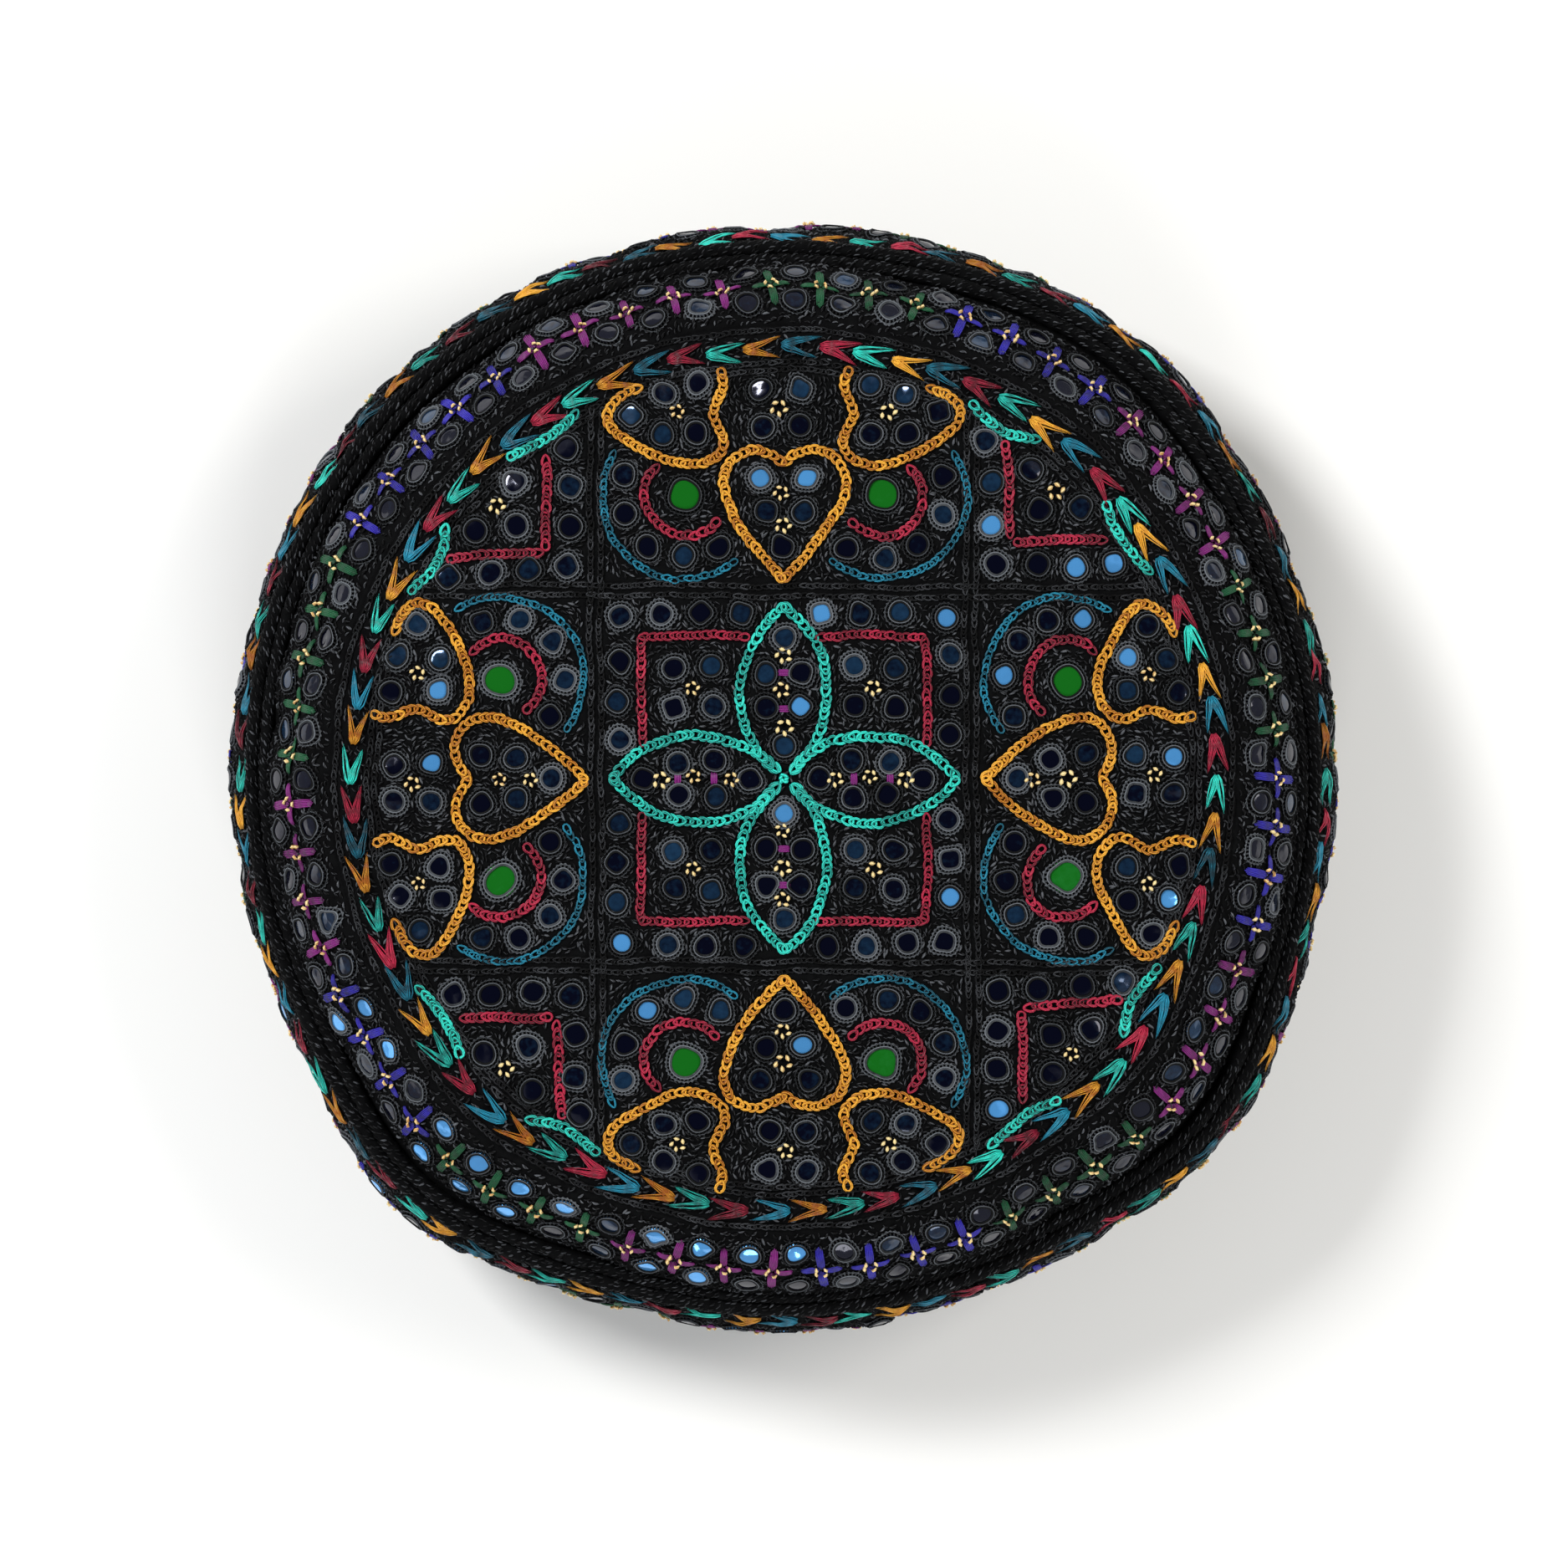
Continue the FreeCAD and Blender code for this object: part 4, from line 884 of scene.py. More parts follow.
def chevron(seed, length, opening, width):
    """Both arms of a chevron whose point lies ahead, anticlockwise."""
    draw = np.random.default_rng(seed)
    inner = chevron_arm(length, opening * draw.uniform(0.9, 1.1), width, 6, seed)
    outer = chevron_arm(length * 0.94, -opening * draw.uniform(0.9, 1.1), width, 6, seed + 1)
    return joined([inner, outer])


chevron_length = 17.0
chevron_opening = 0.28
chevron_arm_width = 3.1


def chevron_ring(name, along, count, first, order, cad_node):
    """A ring of chevrons, one piece for each colour."""
    draw = np.random.default_rng(int(along))
    for index, (colour, floss, slot) in enumerate(order):
        which = np.arange(index, count, len(order))
        turn = first + which * 2 * math.pi / count + draw.normal(0, 0.004, len(which))
        shape = chevron(60 + index, chevron_length, chevron_opening, chevron_arm_width)
        heading = draw.normal(0, 0.05, len(which))
        places = along + draw.normal(0, 0.3, len(which))
        size = draw.uniform(0.94, 1.06, len(which))
        made = stitched(f"{name}_{colour}", shape, band_copies(shape, places, turn, heading, size), 0.45,
                        draw.uniform(-0.2, 0.35, len(which)))
        fit(made, floss, "cushion", slot, *([cad_node] if index == 0 else []))


ring_order = [("turquoise", turquoise, "turquoise_thread"), ("crimson", crimson, "crimson_thread"),
              ("teal", teal, "teal_thread"), ("orange", orange, "orange_thread")]
side_order = [ring_order[0], ring_order[3], ring_order[2], ring_order[1]]
chevron_ring("top_chevron", chevron_middle, 72, math.radians(100.5), ring_order, "top_chevron_ring")
chevron_set_in = 8.6
upper_chevron_along = tuck_end + chevron_set_in
lower_chevron_along = wall_end - chevron_set_in
chevron_ring("upper_side_chevron", upper_chevron_along, 88, 0.02, side_order, "side_chevron_ring_upper")
chevron_ring("lower_side_chevron", lower_chevron_along, 88, 0.05, side_order, "side_chevron_ring_lower")


# ---- Mirrors: silvered glass discs, each held by a buttonhole-stitched ring ----
# The glass is thin, hand-cut and slightly domed, so each disc throws the light its own way. Its tone is
# a painted reflection: dark for most discs, bright for some. The ring is black floss: a rope at the window
# and spokes painted in shade, a fine loop painted as a highlight, and a knotted edge outside.


def silvered_glass(name, tint_and_painted_dark_reflection, clear):
    """Silvered glass under a tint, its tone a painted reflection: dark for most discs, bright for some;
    faintly mottled.
    """
    material, tree, place = new_material(name)
    per_copy_tone = node(tree, "Attribute", {"attribute_name": "dye_and_painted_light"}, {})
    glass_mottle = node(tree, "TexNoise", {}, {"Vector": place, "Scale": 420.0, "Detail": 4.0})
    mixed = node(tree, "Math", {"operation": "MULTIPLY_ADD"},
                 {0: glass_mottle.outputs["Fac"], 1: 0.12, 2: per_copy_tone.outputs["Fac"]})
    tone = ramp(tree, mixed.outputs[0], (0.1, tint_and_painted_dark_reflection), (1.0, clear))
    finish_surface(tree, {"Base Color": tone.outputs["Color"], "Metallic": 0.5,
                          "Roughness": 0.12, "Coat Weight": 0.3,
                          "Coat Roughness": 0.03})
    return material


def glass_disc(radius, thickness):
    """A disc with a softened edge and a very slightly domed face."""
    count = 22
    turn = np.arange(count) * 2 * math.pi / count
    rings = [(0.03 * radius, thickness), (0.5 * radius, thickness - 0.02), (0.9 * radius, thickness - 0.07),
             (radius, thickness - 0.22), (radius, 0.05)]
    places = np.vstack([np.stack([r * np.cos(turn), r * np.sin(turn), np.full(count, z), turn * 0], 1)
                        for r, z in rings])
    return places, [grid_faces(len(rings), count, True)] + end_faces(len(rings), count)


def stitched_ring(window, spokes):
    """The ring round a window: rope and spokes painted in shade, a fine loop painted as a highlight, and a
    knotted edge.
    """
    parts = []
    # painted highlight and shade: the fine loop is set all round on a ply's crest, the rope and spokes in
    # its groove
    painted_crest_highlight = 0.25   # where on a ply a place lies: on its crest, or in its groove
    painted_groove_shade = 0.75
    for away, girth, up, sides, tone in ((0.45, 0.5, 1.1, 5, painted_groove_shade), (1.0, 0.26, 1.35, 4, painted_crest_highlight)):
        turn = np.arange(30) * 2 * math.pi / 30
        reach = window + away
        loop = strand(np.stack([reach * np.cos(turn), reach * np.sin(turn), np.full(30, up)], 1),
                      girth + 0.05 * np.sin(turn * 15), sides, True)
        loop[0][:, 3] = tone
        parts.append(loop)
    rope = window + 0.95
    edge = window + 2.35
    edge_count = spokes * 2
    turn = np.arange(edge_count) * 2 * math.pi / edge_count
    beat = (-1.0) ** np.arange(edge_count)
    parts.append(strand(np.stack([(edge + 0.12 * beat) * np.cos(turn), (edge + 0.12 * beat) * np.sin(turn),
                                  np.full(edge_count, 0.5)], 1), 0.42 + 0.16 * beat, 4, True))
    for index in range(spokes):
        angle = index * 2 * math.pi / spokes
        direction = np.array([math.cos(angle), math.sin(angle), 0])
        lean_way = np.array([-math.sin(angle), math.cos(angle), 0]) * 0.25
        reach = np.array([rope + 0.2, window + 1.5, edge])[:, None]
        line = direction * reach + lean_way * np.array([0, 0.5, 1])[:, None]
        line[:, 2] = [1.15, 0.95, 0.45]
        spoke = strand(line, np.array([0.3, 0.36, 0.26]), 4, False)
        spoke[0][:, 3] = painted_groove_shade
        parts.append(spoke)
    return joined(parts)


def uneven(shape, count, seed, amount):
    """Copies of a ring-shaped local shape, each drawn a little out of round."""
    draw = np.random.default_rng(seed)
    angle = np.arctan2(shape[0][:, 1], shape[0][:, 0])[None]
    factor = np.ones((count, shape[0].shape[0]))
    for wave in (2, 3, 4):
        factor += (draw.normal(0, amount / wave ** 0.5, (count, 1))
                   * np.cos(wave * angle + draw.uniform(0, 6.28, (count, 1))))
    copies = np.repeat(shape[0][None], count, 0)
    copies[..., :2] *= factor[..., None]
    return copies


def tilted(copies, tilt_x, tilt_y):
    """Copies of a flat shape, tilted by slopes along and across."""
    copies = copies.copy()
    copies[..., 2] += copies[..., 0] * tilt_x[:, None] + copies[..., 1] * tilt_y[:, None]
    return copies


def laid_flat(copies, places):
    """Copies in the drawing's own axes, at places of the drawing."""
    x = places[:, :1] + copies[..., 0]
    y = places[:, 1:] + copies[..., 1]
    return np.hypot(x, y), np.arctan2(y, x), copies[..., 2]


def laid_on_band(copies, along, turn):
    radius = np.interp(along, lengths, route[:, 0])[:, None]
    return along[:, None] - copies[..., 1], turn[:, None] + copies[..., 0] / radius, copies[..., 2]


glass_reach = 0.9   # how far a disc goes on under its ring
glass_thickness = 1.0
glass_tilt = 0.022
out_of_round = 0.06


def mirror_set(name, window, lay, painted_reflection_share, glass, slot, cad_node, seed, spokes):
    """Discs and their rings for one group of mirrors, with each disc's painted reflection given from dark
    to bright.
    """
    draw = np.random.default_rng(seed)
    count = len(painted_reflection_share)
    disc = glass_disc(window + glass_reach, glass_thickness)
    copies = tilted(np.repeat(disc[0][None], count, 0), *draw.normal(0, glass_tilt, (2, count)))
    discs = stitched(f"{name}_glass", disc, lay(copies), 0.15, painted_reflection_share)
    fit(discs, glass, "cushion", slot, cad_node)
    ring = stitched_ring(window, spokes)
    rings = uneven(ring, count, seed + 1, out_of_round)
    made = stitched(f"{name}_rings", ring, lay(rings), 0.1, draw.uniform(-0.25, 0.3, count))
    fit(made, ring_floss, "cushion", "black_thread")


ring_floss = cotton_floss("ring_floss", "#020304", "#70757B", 0.25)
# painted reflection: the silver's navy is a painted dark reflection and its sky blue a painted bright one;
# the green's low end is the glass's own tint, its high end a painted bright reflection
silver = silvered_glass("silvered_glass", "#080B20", "#62B6FF")
green_silver = silvered_glass("green_glass", "#1C8424", "#6CFF9C")

# Mirrors painted with a bright reflection, as if lit: small ones, then large green ones, by their places in
# the drawing.
painted_lit_small = [(-14, 116), (6, 116), (17, 63), (62, 63), (76, 98), (112, 82), (124, 81), (118, 60),
               (82, 42), (134, 45), (153, 11), (5, 29), (1, -14), (66, -45), (-52, -92), (11, -103),
               (83, -122), (-137, 40), (-138, 2), (146, -46), (-80, 31), (-60, -62)]
painted_lit_green = [(109, -30)]


def near_any(places, targets, reach):
    """Which places have a target within reach; a target counts for its nearest place only."""
    picked = np.zeros(len(places), bool)
    for target in targets:
        away = np.hypot(*(places - target).T)
        if away.min() < reach:
            picked[away.argmin()] = True
    return picked


def top_mirrors(name, drawn, window, glass, slot, cad_node, seed, spokes, wander):
    """A group of mirrors on the top panel, repeated in all four quarters."""
    draw = np.random.default_rng(seed + 100)
    places = np.vstack([turned(drawn, quarter) for quarter in range(4)])
    places += draw.normal(0, wander, places.shape)
    clear = near_any(places, painted_lit_small if slot == "mirror_glass" else painted_lit_green, 6.5)
    # each disc's painted reflection: bright where listed as lit, dark otherwise
    painted_reflection_share = np.where(clear, draw.uniform(0.8, 1.0, len(places)), draw.beta(1.2, 4, len(places)) * 0.2)
    mirror_set(name, window, lambda copies: laid_flat(copies, places), painted_reflection_share, glass, slot, cad_node,
               seed, spokes)
    return places


centre_places = top_mirrors("centre_mirror", centre_mirrors, 3.4, silver, "mirror_glass", "centre_mirrors",
                            70, 22, 0.45)
edge_places = top_mirrors("edge_mirror", edge_mirrors, 3.4, silver, "mirror_glass", "edge_mirrors", 72, 22,
                          0.45)
corner_places = top_mirrors("corner_mirror", corner_mirrors, 3.6, silver, "mirror_glass",
                            "corner_mirrors", 74, 22, 0.5)
green_places = top_mirrors("green_mirror", green_mirrors, 5.5, green_silver, "green_glass",
                           "green_mirrors", 76, 30, 0.4)

cell_count = 63
cell_first = math.radians(120.1)
cell_turns = cell_first - np.arange(cell_count) * 2 * math.pi / cell_count
shoulder_rows = (panel_end + 11.2, panel_end + 30.4)


def band_mirrors(name, rows, turns, painted_lit_range, cad_node, seed):
    """Mirrors in rows round a band; in one stretch of it most are painted with a bright reflection."""
    along = np.concatenate([np.full(len(turns), row) for row in rows])
    turn = np.concatenate([turns] * len(rows))
    draw = np.random.default_rng(seed)
    along += draw.normal(0, 0.35, len(along))
    degrees = np.degrees(turn) % 360
    clear = (degrees > painted_lit_range[0]) & (degrees < painted_lit_range[1]) & (draw.random(len(turn)) < 0.6)
    # each disc's painted reflection: bright for most discs in the stretch, dark otherwise
    painted_reflection_share = np.where(clear, draw.uniform(0.7, 1.0, len(turn)), draw.beta(1.2, 4, len(turn)) * 0.15)
    mirror_set(name, 3.6, lambda copies: laid_on_band(copies, along, turn), painted_reflection_share, silver,
               "mirror_glass", cad_node, seed, 22)


between = cell_turns - math.pi / cell_count
band_mirrors("shoulder_mirror", shoulder_rows, between, (203, 276), "shoulder_mirrors", 80)
side_count = 72
side_turns = np.arange(side_count) * 2 * math.pi / side_count
side_middle = (tuck_end + wall_end) / 2
side_rows = (side_middle - 7.2, side_middle + 7.2)
band_mirrors("side_mirror", side_rows, side_turns, (203, 276), "side_mirrors", 82)


# ---- Bars and knots between the mirrors ----
# On the shoulder and the side band each crossing of four mirrors holds a cross of padded satin bars,
# magenta, dark green or blue by turns, with a knot of four small gold stitches on top.

magenta = cotton_floss("magenta_floss", "#2A0425", "#85207C", 0.5)
green = cotton_floss("green_floss", "#02180B", "#125A36", 0.5)
blue = cotton_floss("blue_floss", "#0A0630", "#3028AC", 0.5)
gold = cotton_floss("gold_floss", "#C07C24", "#FFE6A6", 0.5)
band_colours = {"magenta": magenta, "green": green, "blue": blue}
shoulder_sections = [("magenta", 5), ("green", 4), ("blue", 4)] + [("magenta", 4), ("green", 4),
                                                                  ("blue", 4)] * 3
shoulder_sections += [("magenta", 4), ("green", 5), ("blue", 5)]


def satin_bar(length, width, strands):
    """A padded bar of satin stitches side by side."""
    parts = []
    for index in range(strands):
        offset = (index / (strands - 1) - 0.5) * width * 0.8
        share = np.linspace(-0.5, 0.5, 5)
        line = np.stack([share * length * (1 - 0.1 * abs(index - strands / 2 + 0.5)),
                         offset * (1 - 0.3 * share ** 2), 0.45 + 0.55 * np.cos(share * math.pi) ** 0.6], 1)
        girth = width / strands * np.array([0.42, 0.62, 0.66, 0.62, 0.42])
        parts.append(strand(line, girth, 5, False, 2, 6.0))
    return joined(parts)


def bead_stitch(length, width, height):
    """One short, plump stitch."""
    share = np.linspace(-0.5, 0.5, 4)
    line = np.stack([share * length, share * 0, height * (0.4 + 0.5 * np.cos(share * math.pi))], 1)
    return strand(line, width / 2 * np.array([0.4, 1, 1, 0.4]), 4, False, 2, 3.0)


def knot_shape(reach, count, seed):
    """Short stitches in a loose ring round the place where four rings meet."""
    draw = np.random.default_rng(seed)
    stitch = bead_stitch(2.0, 1.35, 1.5)
    angles = np.arange(count) * 2 * math.pi / count + draw.normal(0, 0.15, count)
    return joined([shifted(stitch, away * math.cos(angle), away * math.sin(angle), angle + skew)
                   for angle, away, skew in zip(angles, draw.normal(reach, 0.3, count),
                                                draw.normal(0.9, 0.5, count))])


def bars_and_knots(name, along, turns, colours, gap, reach, cad_nodes):
    """Crosses of satin bars at the given turns of a band, and a gold knot on each."""
    draw = np.random.default_rng(len(turns))
    upright = satin_bar(reach, 3.1, 5)
    level = satin_bar(gap, 2.3, 4)
    away = reach * 0.5 + 0.6
    aside = gap / 2 + 0.6
    cross = joined([shifted(upright, 0, away, math.pi / 2), shifted(upright, 0, -away, math.pi / 2 + 0.05),
                    shifted(level, aside, 0, 0), shifted(level, -aside, 0, 0.04)])
    for colour, floss in band_colours.items():
        turn = turns[np.array(colours) == colour]
        laid = band_copies(cross, along + draw.normal(0, 0.2, len(turn)), turn,
                           draw.normal(0, 0.07, len(turn)), draw.uniform(0.92, 1.08, len(turn)))
        made = stitched(f"{name}_{colour}", cross, laid, 0.2, draw.uniform(0.12, 0.5, len(turn)))
        fit(made, floss, "cushion", "band_thread", *(cad_nodes if colour == "magenta" else []))
    shape = knot_shape(2.1, 4, len(turns))
    laid = band_copies(shape, along + draw.normal(0, 0.3, len(turns)), turns,
                       draw.uniform(0, 1.5, len(turns)), draw.uniform(0.9, 1.15, len(turns)))
    knots = stitched(f"{name}_knots", shape, laid, 0.7, draw.uniform(0.1, 0.5, len(turns)))
    fit(knots, gold, "cushion", "mixed_thread")


shoulder_colours = [colour for colour, count in shoulder_sections for _ in range(count)]
bars_and_knots("shoulder_bars", sum(shoulder_rows) / 2, cell_turns, shoulder_colours, 7.2, 11.5,
               ["shoulder_bars"])
side_colours = [("green", "magenta", "blue")[index // 4 % 3] for index in range(side_count)]
bars_and_knots("side_bars", side_middle, side_turns + math.pi / side_count, side_colours, 7.2, 7.0, [])

top_knots = [(35, 35), (0, 34), (0, 20), (0, 47.5), (-1.5, 144.5), (0, 110), (0, 97), (-111, 105.5)]
for mirrored in on_both_sides([(-41, 142)]):
    top_knots += mirrored.tolist()
knot_places = np.vstack([turned(top_knots, quarter) for quarter in range(4)])
knot_draw = np.random.default_rng(9)
knot_places += knot_draw.normal(0, 0.4, knot_places.shape)
knot = knot_shape(2.3, 5, 7)
knot_heading = knot_draw.uniform(0, 1.5, len(knot_places))
knot_size = knot_draw.uniform(0.9, 1.2, len(knot_places))
knot_dye = knot_draw.uniform(0.2, 0.8, len(knot_places))
fit(stitched("top_knots", knot, flat_copies(knot, knot_places, knot_heading, knot_size), 0.3, knot_dye),
    gold, "cushion", "mixed_thread")

centre_knot = knot_shape(1.3, 7, 12)
at_centre = flat_copies(centre_knot, np.zeros((1, 2)), np.zeros(1), np.ones(1))
fit(stitched("flower_knot", centre_knot, at_centre, 0.6, 0.3), turquoise, "cushion", "turquoise_thread")

petal_bar_places = np.vstack([turned([(0, 27), (0, 41)], quarter) for quarter in range(4)])
petal_bar = satin_bar(6.0, 2.4, 4)
petal_bar_heading = np.repeat(np.arange(4) * math.pi / 2, 2)
in_petals = flat_copies(petal_bar, petal_bar_places, petal_bar_heading, np.ones(8))
fit(stitched("petal_bars", petal_bar, in_petals, 0.2, 0.4), magenta, "cushion", "band_thread")


# ---- Black ground stitches: they cover the cloth between all that is coloured ----
# Short seed stitches in black cotton, laid round the mirrors in close circles. Most are near black; the
# few pale ones are painted glints.


def ground_places(start, end, spacing, seed):
    """Even, jittered places on the cover between two lengths along its outline."""
    draw = np.random.default_rng(seed)
    found_along = []
    found_turn = []
    for along in np.arange(start + spacing / 2, end, spacing):
        radius = np.interp(along, lengths, route[:, 0])
        count = max(3, int(2 * math.pi * radius / spacing))
        turn = (np.arange(count) + draw.random()) * 2 * math.pi / count
        found_turn.append(turn + draw.normal(0, 0.2, count) * spacing / max(radius, 1))
        found_along.append(along + draw.normal(0, 0.3, count) * spacing)
    return np.concatenate(found_along), np.concatenate(found_turn)


def distance_to(places, targets):
    """Distance from each place to its nearest target, and which target that is."""
    best = np.full(len(places), 1e9)
    which = np.zeros(len(places), int)
    for start in range(0, len(places), 2000):
        part = places[start:start + 2000]
        away = np.hypot(part[:, None, 0] - targets[None, :, 0], part[:, None, 1] - targets[None, :, 1])
        best[start:start + 2000] = away.min(1)
        which[start:start + 2000] = away.argmin(1)
    return best, which


seed_stitch = bead_stitch(2.5, 0.85, 0.8)
ground_depth = 0.32   # how far the darkest ground stitches go below the floss's middle tone
ground_spacing = 1.95
off_small = 6.2    # a ground stitch keeps this far off the middle of a small mirror,
off_green = 8.5    # this far off the middle of a green one,
off_thread = 2.6   # and this far off the braids, chain rows and knots
along, turn = ground_places(1.5, ring_inner - 4.6, ground_spacing, 90)
flat = np.stack([along * np.cos(turn), along * np.sin(turn)], 1)
small = np.vstack([centre_places, edge_places, corner_places])
away_small, which_small = distance_to(flat, small)
away_green, _ = distance_to(flat, green_places)
coloured = np.vstack([smooth_line(line, 2.0)[0] for line in petal_lines + heart_lines + square_lines
                      + crimson_arc_lines + teal_lines + angle_lines + arc_lines + grid_lines()])
away_braid, _ = distance_to(flat, coloured)
away_knot, _ = distance_to(flat, knot_places)
free = ((away_small > off_small) & (away_green > off_green) & (away_braid > off_thread)
        & (away_knot > off_thread))
around_mirror = np.arctan2(*(flat - small[which_small]).T[::-1]) + math.pi / 2
ground_draw = np.random.default_rng(91)
ground_heading = around_mirror + ground_draw.normal(0, 0.45, len(flat))
for quarter in range(4):
    here = np.flatnonzero(free & ((turn % (2 * math.pi)) // (math.pi / 2) == quarter))
    laid = flat_copies(seed_stitch, flat[here], ground_heading[here],
                       ground_draw.uniform(0.7, 1.15, len(here)))
    # painted highlight: a few stitches are painted pale, as glints on black thread
    ground_tone_and_painted_glints = ground_draw.beta(0.6, 1.7, len(here)) - ground_depth
    fit(stitched(f"top_ground_{quarter + 1}", seed_stitch, laid, 0.0, ground_tone_and_painted_glints), black_floss,
        "cushion", "black_thread")


def band_ground(name, start, end, spacing, mirror_along, mirror_turn, seed):
    """Seed stitches round a band, clear of its mirrors."""
    along, turn = ground_places(start, end, spacing, seed)
    scale = np.interp((start + end) / 2, lengths, route[:, 0])
    mirrors = np.array([(place % (2 * math.pi) * scale, row) for row in mirror_along
                        for place in mirror_turn])
    free = np.ones(len(along), bool)
    if len(mirrors):
        free = distance_to(np.stack([turn % (2 * math.pi) * scale, along], 1), mirrors)[0] > off_small
    draw = np.random.default_rng(seed + 1)
    heading = draw.normal(0, 0.5, int(free.sum())) + np.where(draw.random(int(free.sum())) < 0.5, 0, 0.9)
    laid = band_copies(seed_stitch, along[free], turn[free], heading,
                       draw.uniform(0.75, 1.2, len(heading)))
    # painted highlight: a few stitches are painted pale, as glints on black thread
    dye_and_painted_light = draw.beta(0.6, 1.7, len(heading)) - ground_depth
    fit(stitched(name, seed_stitch, laid, 0.0, dye_and_painted_light), black_floss, "cushion", "black_thread")


band_ground("chevron_ground_stitches", ring_inner + 1.6, ring_outer - 2.6, 2.4, (), (), 92)
band_ground("shoulder_ground_stitches", panel_end + 1.5, shoulder_end - 0.5, 2.6,
            shoulder_rows, between, 93)
band_ground("side_ground_upper", tuck_end + 1.0, side_middle, 2.7, side_rows[:1], side_turns, 95)
band_ground("side_ground_lower", side_middle, wall_end - 1.0, 2.7, side_rows[1:], side_turns, 97)


overcast_count = 430
overcast_flatness = 0.3


def overcast(name, node_name, seed):
    """Slanting black stitches that hold a roll down, in rows along it."""
    draw = np.random.default_rng(seed)
    low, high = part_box(node_name)
    girth = (high.z - low.z) / MM / 2
    ring = high.x / MM - girth
    middle = (low.z + high.z) / 2 / MM
    rows = np.radians([15, 50, 85, 120])
    steps = np.arange(overcast_count) * 2 * math.pi / overcast_count
    turn, around = [value.ravel() for value in np.meshgrid(steps, rows)]
    turn = turn + draw.normal(0, 0.004, len(turn))
    around = around + draw.normal(0, 0.1, len(turn))
    wander = 0.5 * np.sin(3 * turn + seed) + 0.3 * np.sin(7 * turn + 2 * seed)
    ahead = np.stack([-np.sin(turn), np.cos(turn), turn * 0], 1)
    away = np.stack([np.cos(turn) * np.cos(around), np.sin(turn) * np.cos(around), np.sin(around)], 1)
    over = np.cross(away, ahead)
    reach = ring + lean(turn) * 0.95
    middles = np.stack([reach * np.cos(turn), reach * np.sin(turn), middle + wander], 1) + away * girth
    slant = draw.normal(0.6, 0.2, len(turn))[:, None]
    first = ahead * np.cos(slant) + over * np.sin(slant)
    second = over * np.cos(slant) - ahead * np.sin(slant)
    x, y, z = seed_stitch[0][:, 0], seed_stitch[0][:, 1], seed_stitch[0][:, 2] * overcast_flatness
    places = (middles[:, None] + first[:, None] * x[None, :, None] + second[:, None] * y[None, :, None]
              + away[:, None] * z[None, :, None]).reshape(-1, 3)
    made = mesh_object(name, places, repeat_faces(seed_stitch[1], len(turn), len(x)))
    give_values(made, "dye_and_painted_light", np.repeat(draw.beta(0.7, 3.0, len(turn)) - 0.38, len(x)))
    give_values(made, "ply", np.tile(seed_stitch[0][:, 3], len(turn)))
    fit(made, black_floss, "cushion", "black_thread")


overcast("seam_roll_stitches", "upper_seam_roll", 3)
overcast("upper_piping_stitches", "upper_piping", 4)


# ---- The back: two half panels that meet at the zip ----
# Plain black cotton, a little paler than the top's. Each half stops short of the zip, and a row of
# small flat stitches runs round the opening.

back_cotton = black_cotton("back_cotton", "#0C0C0D", "#202124")
slot_half = 8.0   # half the width of the opening that shows the zip
zip_half = high_corner("zip_tape_upper").x
half_gap = 0.15   # half the gap between the two panels beyond the zip
back_thickness = 1.1


def back_half(name, side):
    """Half of the back in rows from the zip to the rim, with a little thickness."""
    rows, columns = 60, 140
    across = np.linspace(0, 1, rows)
    sweep = np.linspace(0, math.pi, columns)
    shares, angles = np.meshgrid(across, sweep, indexing="ij")
    x_edge = np.cos(angles)
    y_edge = np.sin(angles)
    near_zip = np.abs(x_edge) * back_radius < zip_half
    start_y = np.where(near_zip, slot_half, half_gap)
    flat_x = x_edge * back_radius * (0.985 + 0.015 * shares)
    end_y = y_edge * back_radius
    flat_y = start_y + np.maximum(end_y - start_y, 0) * shares
    radius = np.hypot(flat_x, flat_y)
    turn = np.arctan2(flat_y * side, flat_x)
    inner_radius = back_radius - rim_radius
    along = np.where(radius <= inner_radius, under_end - radius,
                     rim_end - (radius - inner_radius) * (rim_end - lower_tuck_end) / rim_radius)
    outer = on_cover(along, turn, 0.0)
    inner = on_cover(along, turn, -back_thickness)
    outer[..., 2] = np.maximum(outer[..., 2], 0.0)
    layer = rows * columns
    quads = grid_faces(rows, columns, False)
    if side > 0:
        quads = quads[:, ::-1]
    ring = np.concatenate([np.arange(columns), (np.arange(1, rows) + 1) * columns - 1,
                           (rows - 1) * columns + np.arange(columns - 1)[::-1],
                           np.arange(1, rows - 1)[::-1] * columns])
    following = np.roll(ring, -1)
    hem = np.stack([ring, following, following + layer, ring + layer], 1)
    if side > 0:
        hem = hem[:, ::-1]
    return mesh_object(name, np.vstack([outer.reshape(-1, 3), inner.reshape(-1, 3)]),
                       [np.vstack([quads, quads[:, ::-1] + layer, hem])])


for half, side in (("upper", 1), ("lower", -1)):
    made = fit(back_half(f"back_cloth_{half}", side), back_cotton, "cushion", "black_cotton",
               f"back_panel_{half}")

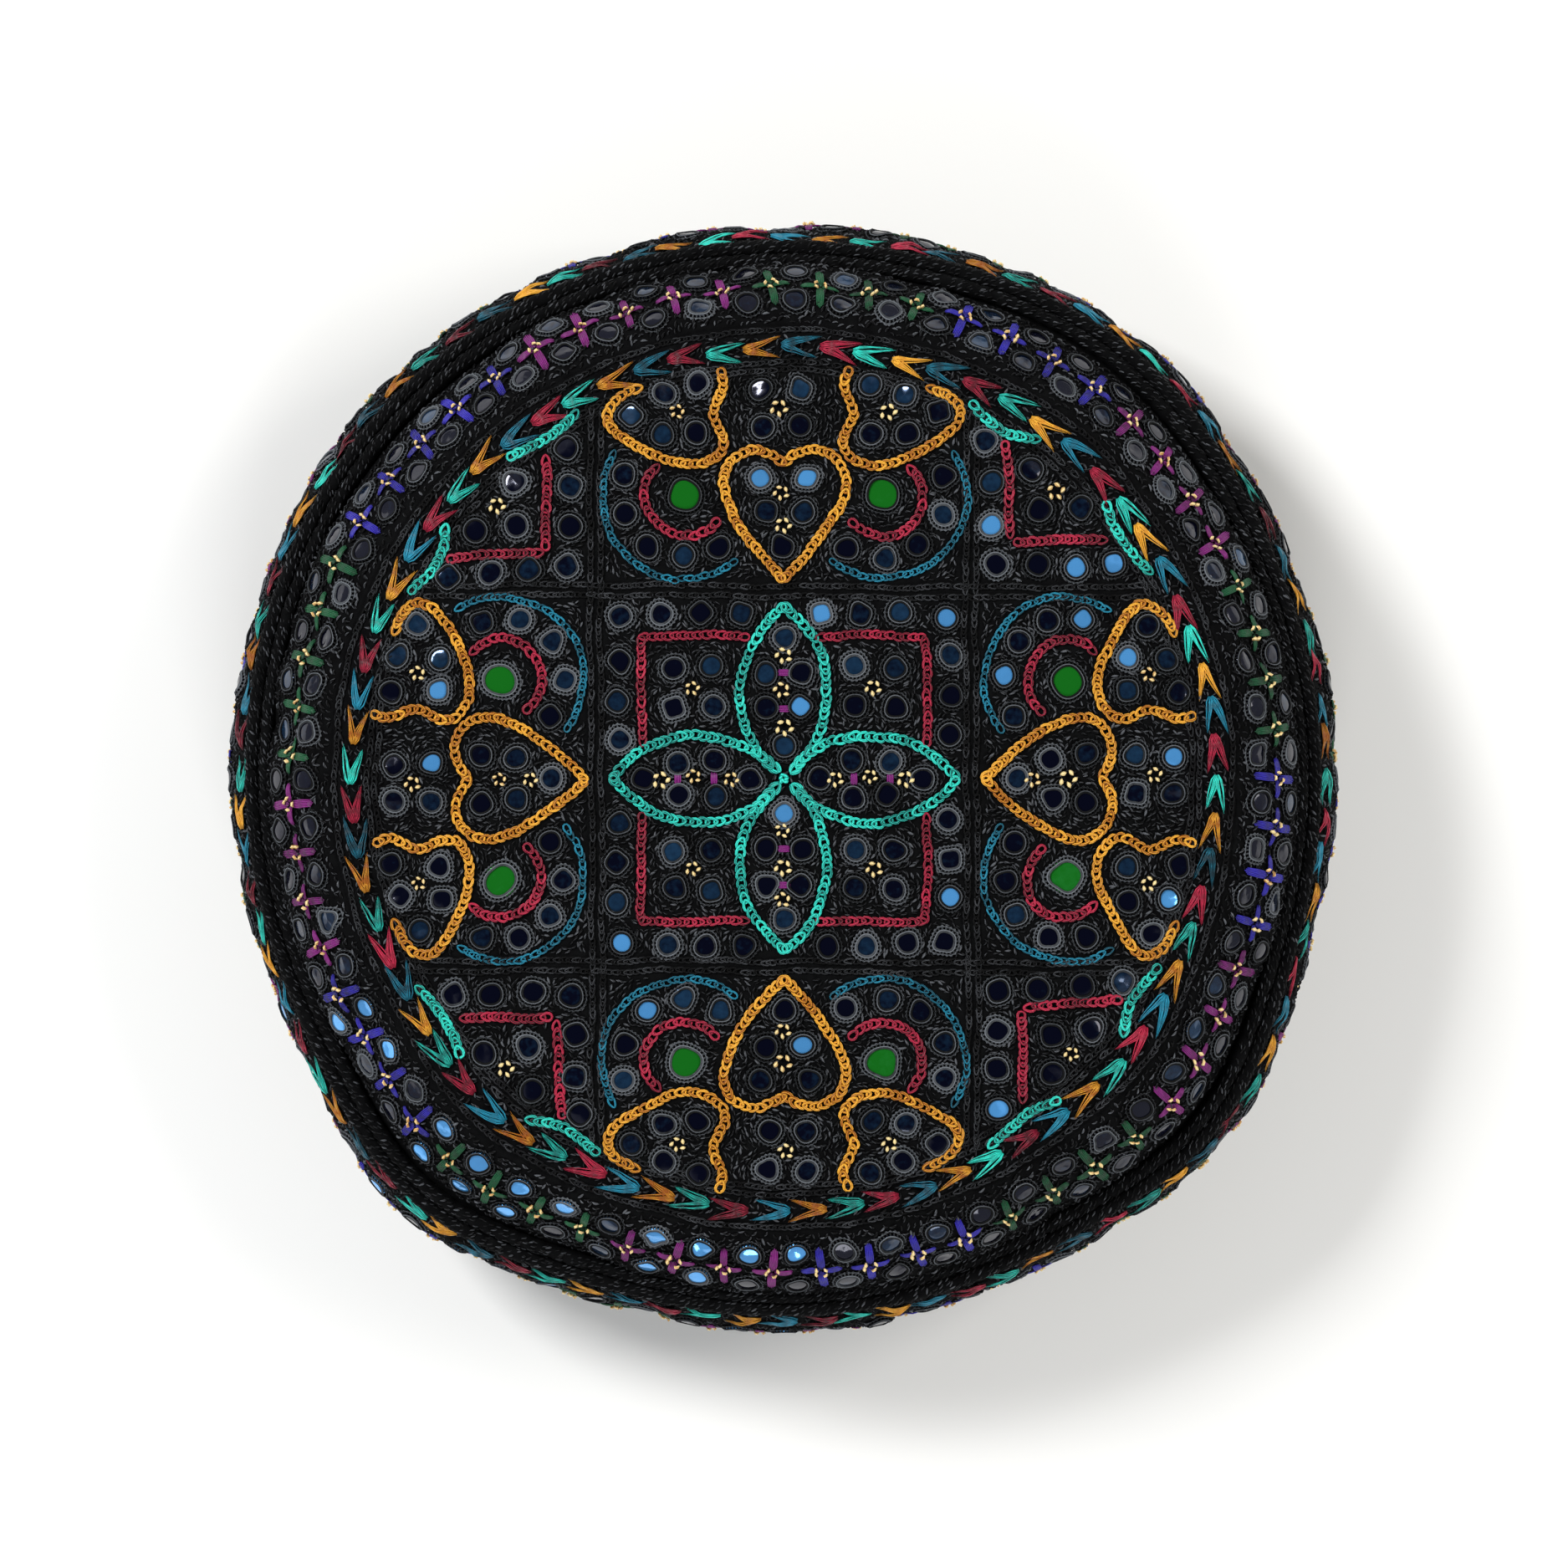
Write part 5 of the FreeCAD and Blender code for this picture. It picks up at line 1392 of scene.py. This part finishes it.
stitch_pitch = 3.6
stitch_set_in = 2.4
reach_x = zip_half + stitch_set_in
reach_y = slot_half + stitch_set_in
stitch_flatness = 0.4
stitch_sunk = 0.1
row_x = np.arange(-reach_x, reach_x, stitch_pitch)
row_y = np.arange(-reach_y, reach_y, stitch_pitch)
sewn = np.vstack([np.stack([row_x, row_x * 0 + reach_y], 1), np.stack([row_x, row_x * 0 - reach_y], 1),
                  np.stack([row_y * 0 + reach_x, row_y], 1), np.stack([row_y * 0 - reach_x, row_y], 1)])
sewn_heading = np.repeat([0, math.pi / 2], [2 * len(row_x), 2 * len(row_y)])
radius, sewn_turn, depth = flat_copies(seed_stitch, sewn, sewn_heading, np.ones(len(sewn)))
laid = (under_end - radius, sewn_turn, depth * stitch_flatness)
made = stitched("zip_topstitch", seed_stitch, laid, -stitch_sunk, 0.3)
fit(made, black_floss, "cushion", "black_thread")


# ---- The zip: woven tapes, nylon coils, and a lacquered slider with its pull tab ----


def woven_tape():
    """Polyester tape: a fine herringbone, dull black."""
    material, tree, place = new_material("woven_tape")
    rib = 1.0 * MM
    ribs = node(tree, "TexWave", {"bands_direction": "DIAGONAL"},
                {"Vector": place, "Scale": 0.3 / rib, "Distortion": 0.5})
    tone = ramp(tree, ribs.outputs["Fac"], (0.0, "#0B0B0C"), (1.0, "#242426"))
    relief = node(tree, "Bump", {}, {"Strength": 0.4, "Distance": 0.0002, "Height": ribs.outputs["Fac"]})
    finish_surface(tree, {"Base Color": tone.outputs["Color"], "Roughness": 0.7,
                          "Normal": relief.outputs["Normal"]})
    return material


def nylon_coil():
    """Nylon: a moulded coil, half gloss, with one turn each 1.4 mm."""
    material, tree, place = new_material("nylon_coil")
    coil_pitch = 1.4 * MM
    turns = node(tree, "TexWave", {"bands_direction": "X"},
                 {"Vector": place, "Scale": 0.314 / coil_pitch})
    tone = ramp(tree, turns.outputs["Fac"], (0.0, "#070708"), (1.0, "#2E2E31"))
    relief = node(tree, "Bump", {}, {"Strength": 0.9, "Distance": 0.0005, "Height": turns.outputs["Fac"]})
    finish_surface(tree, {"Base Color": tone.outputs["Color"], "Roughness": 0.4,
                          "Normal": relief.outputs["Normal"]})
    return material


def lacquered_zinc():
    """Die-cast zinc under black lacquer, rubbed brighter in places."""
    material, tree, place = new_material("lacquered_zinc")
    rub = node(tree, "TexNoise", {}, {"Vector": place, "Scale": 700.0, "Detail": 5.0})
    tone = ramp(tree, rub.outputs["Fac"], (0.5, "#131314"), (0.72, "#6A6A6C"))
    finish_surface(tree, {"Base Color": tone.outputs["Color"], "Roughness": 0.32,
                          "Metallic": 0.7})
    return material


def dress(names, material):
    """Gives CAD nodes their finished material."""
    for name in names:
        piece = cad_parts[name]
        piece.data.materials.clear()
        piece.data.materials.append(material)


dress(["zip_tape_upper", "zip_tape_lower"], woven_tape())
dress(["zip_teeth_upper", "zip_teeth_lower"], nylon_coil())
dress(["zip_top_stops", "zip_bottom_stop", "zip_slider", "zip_pull_tab"], lacquered_zinc())
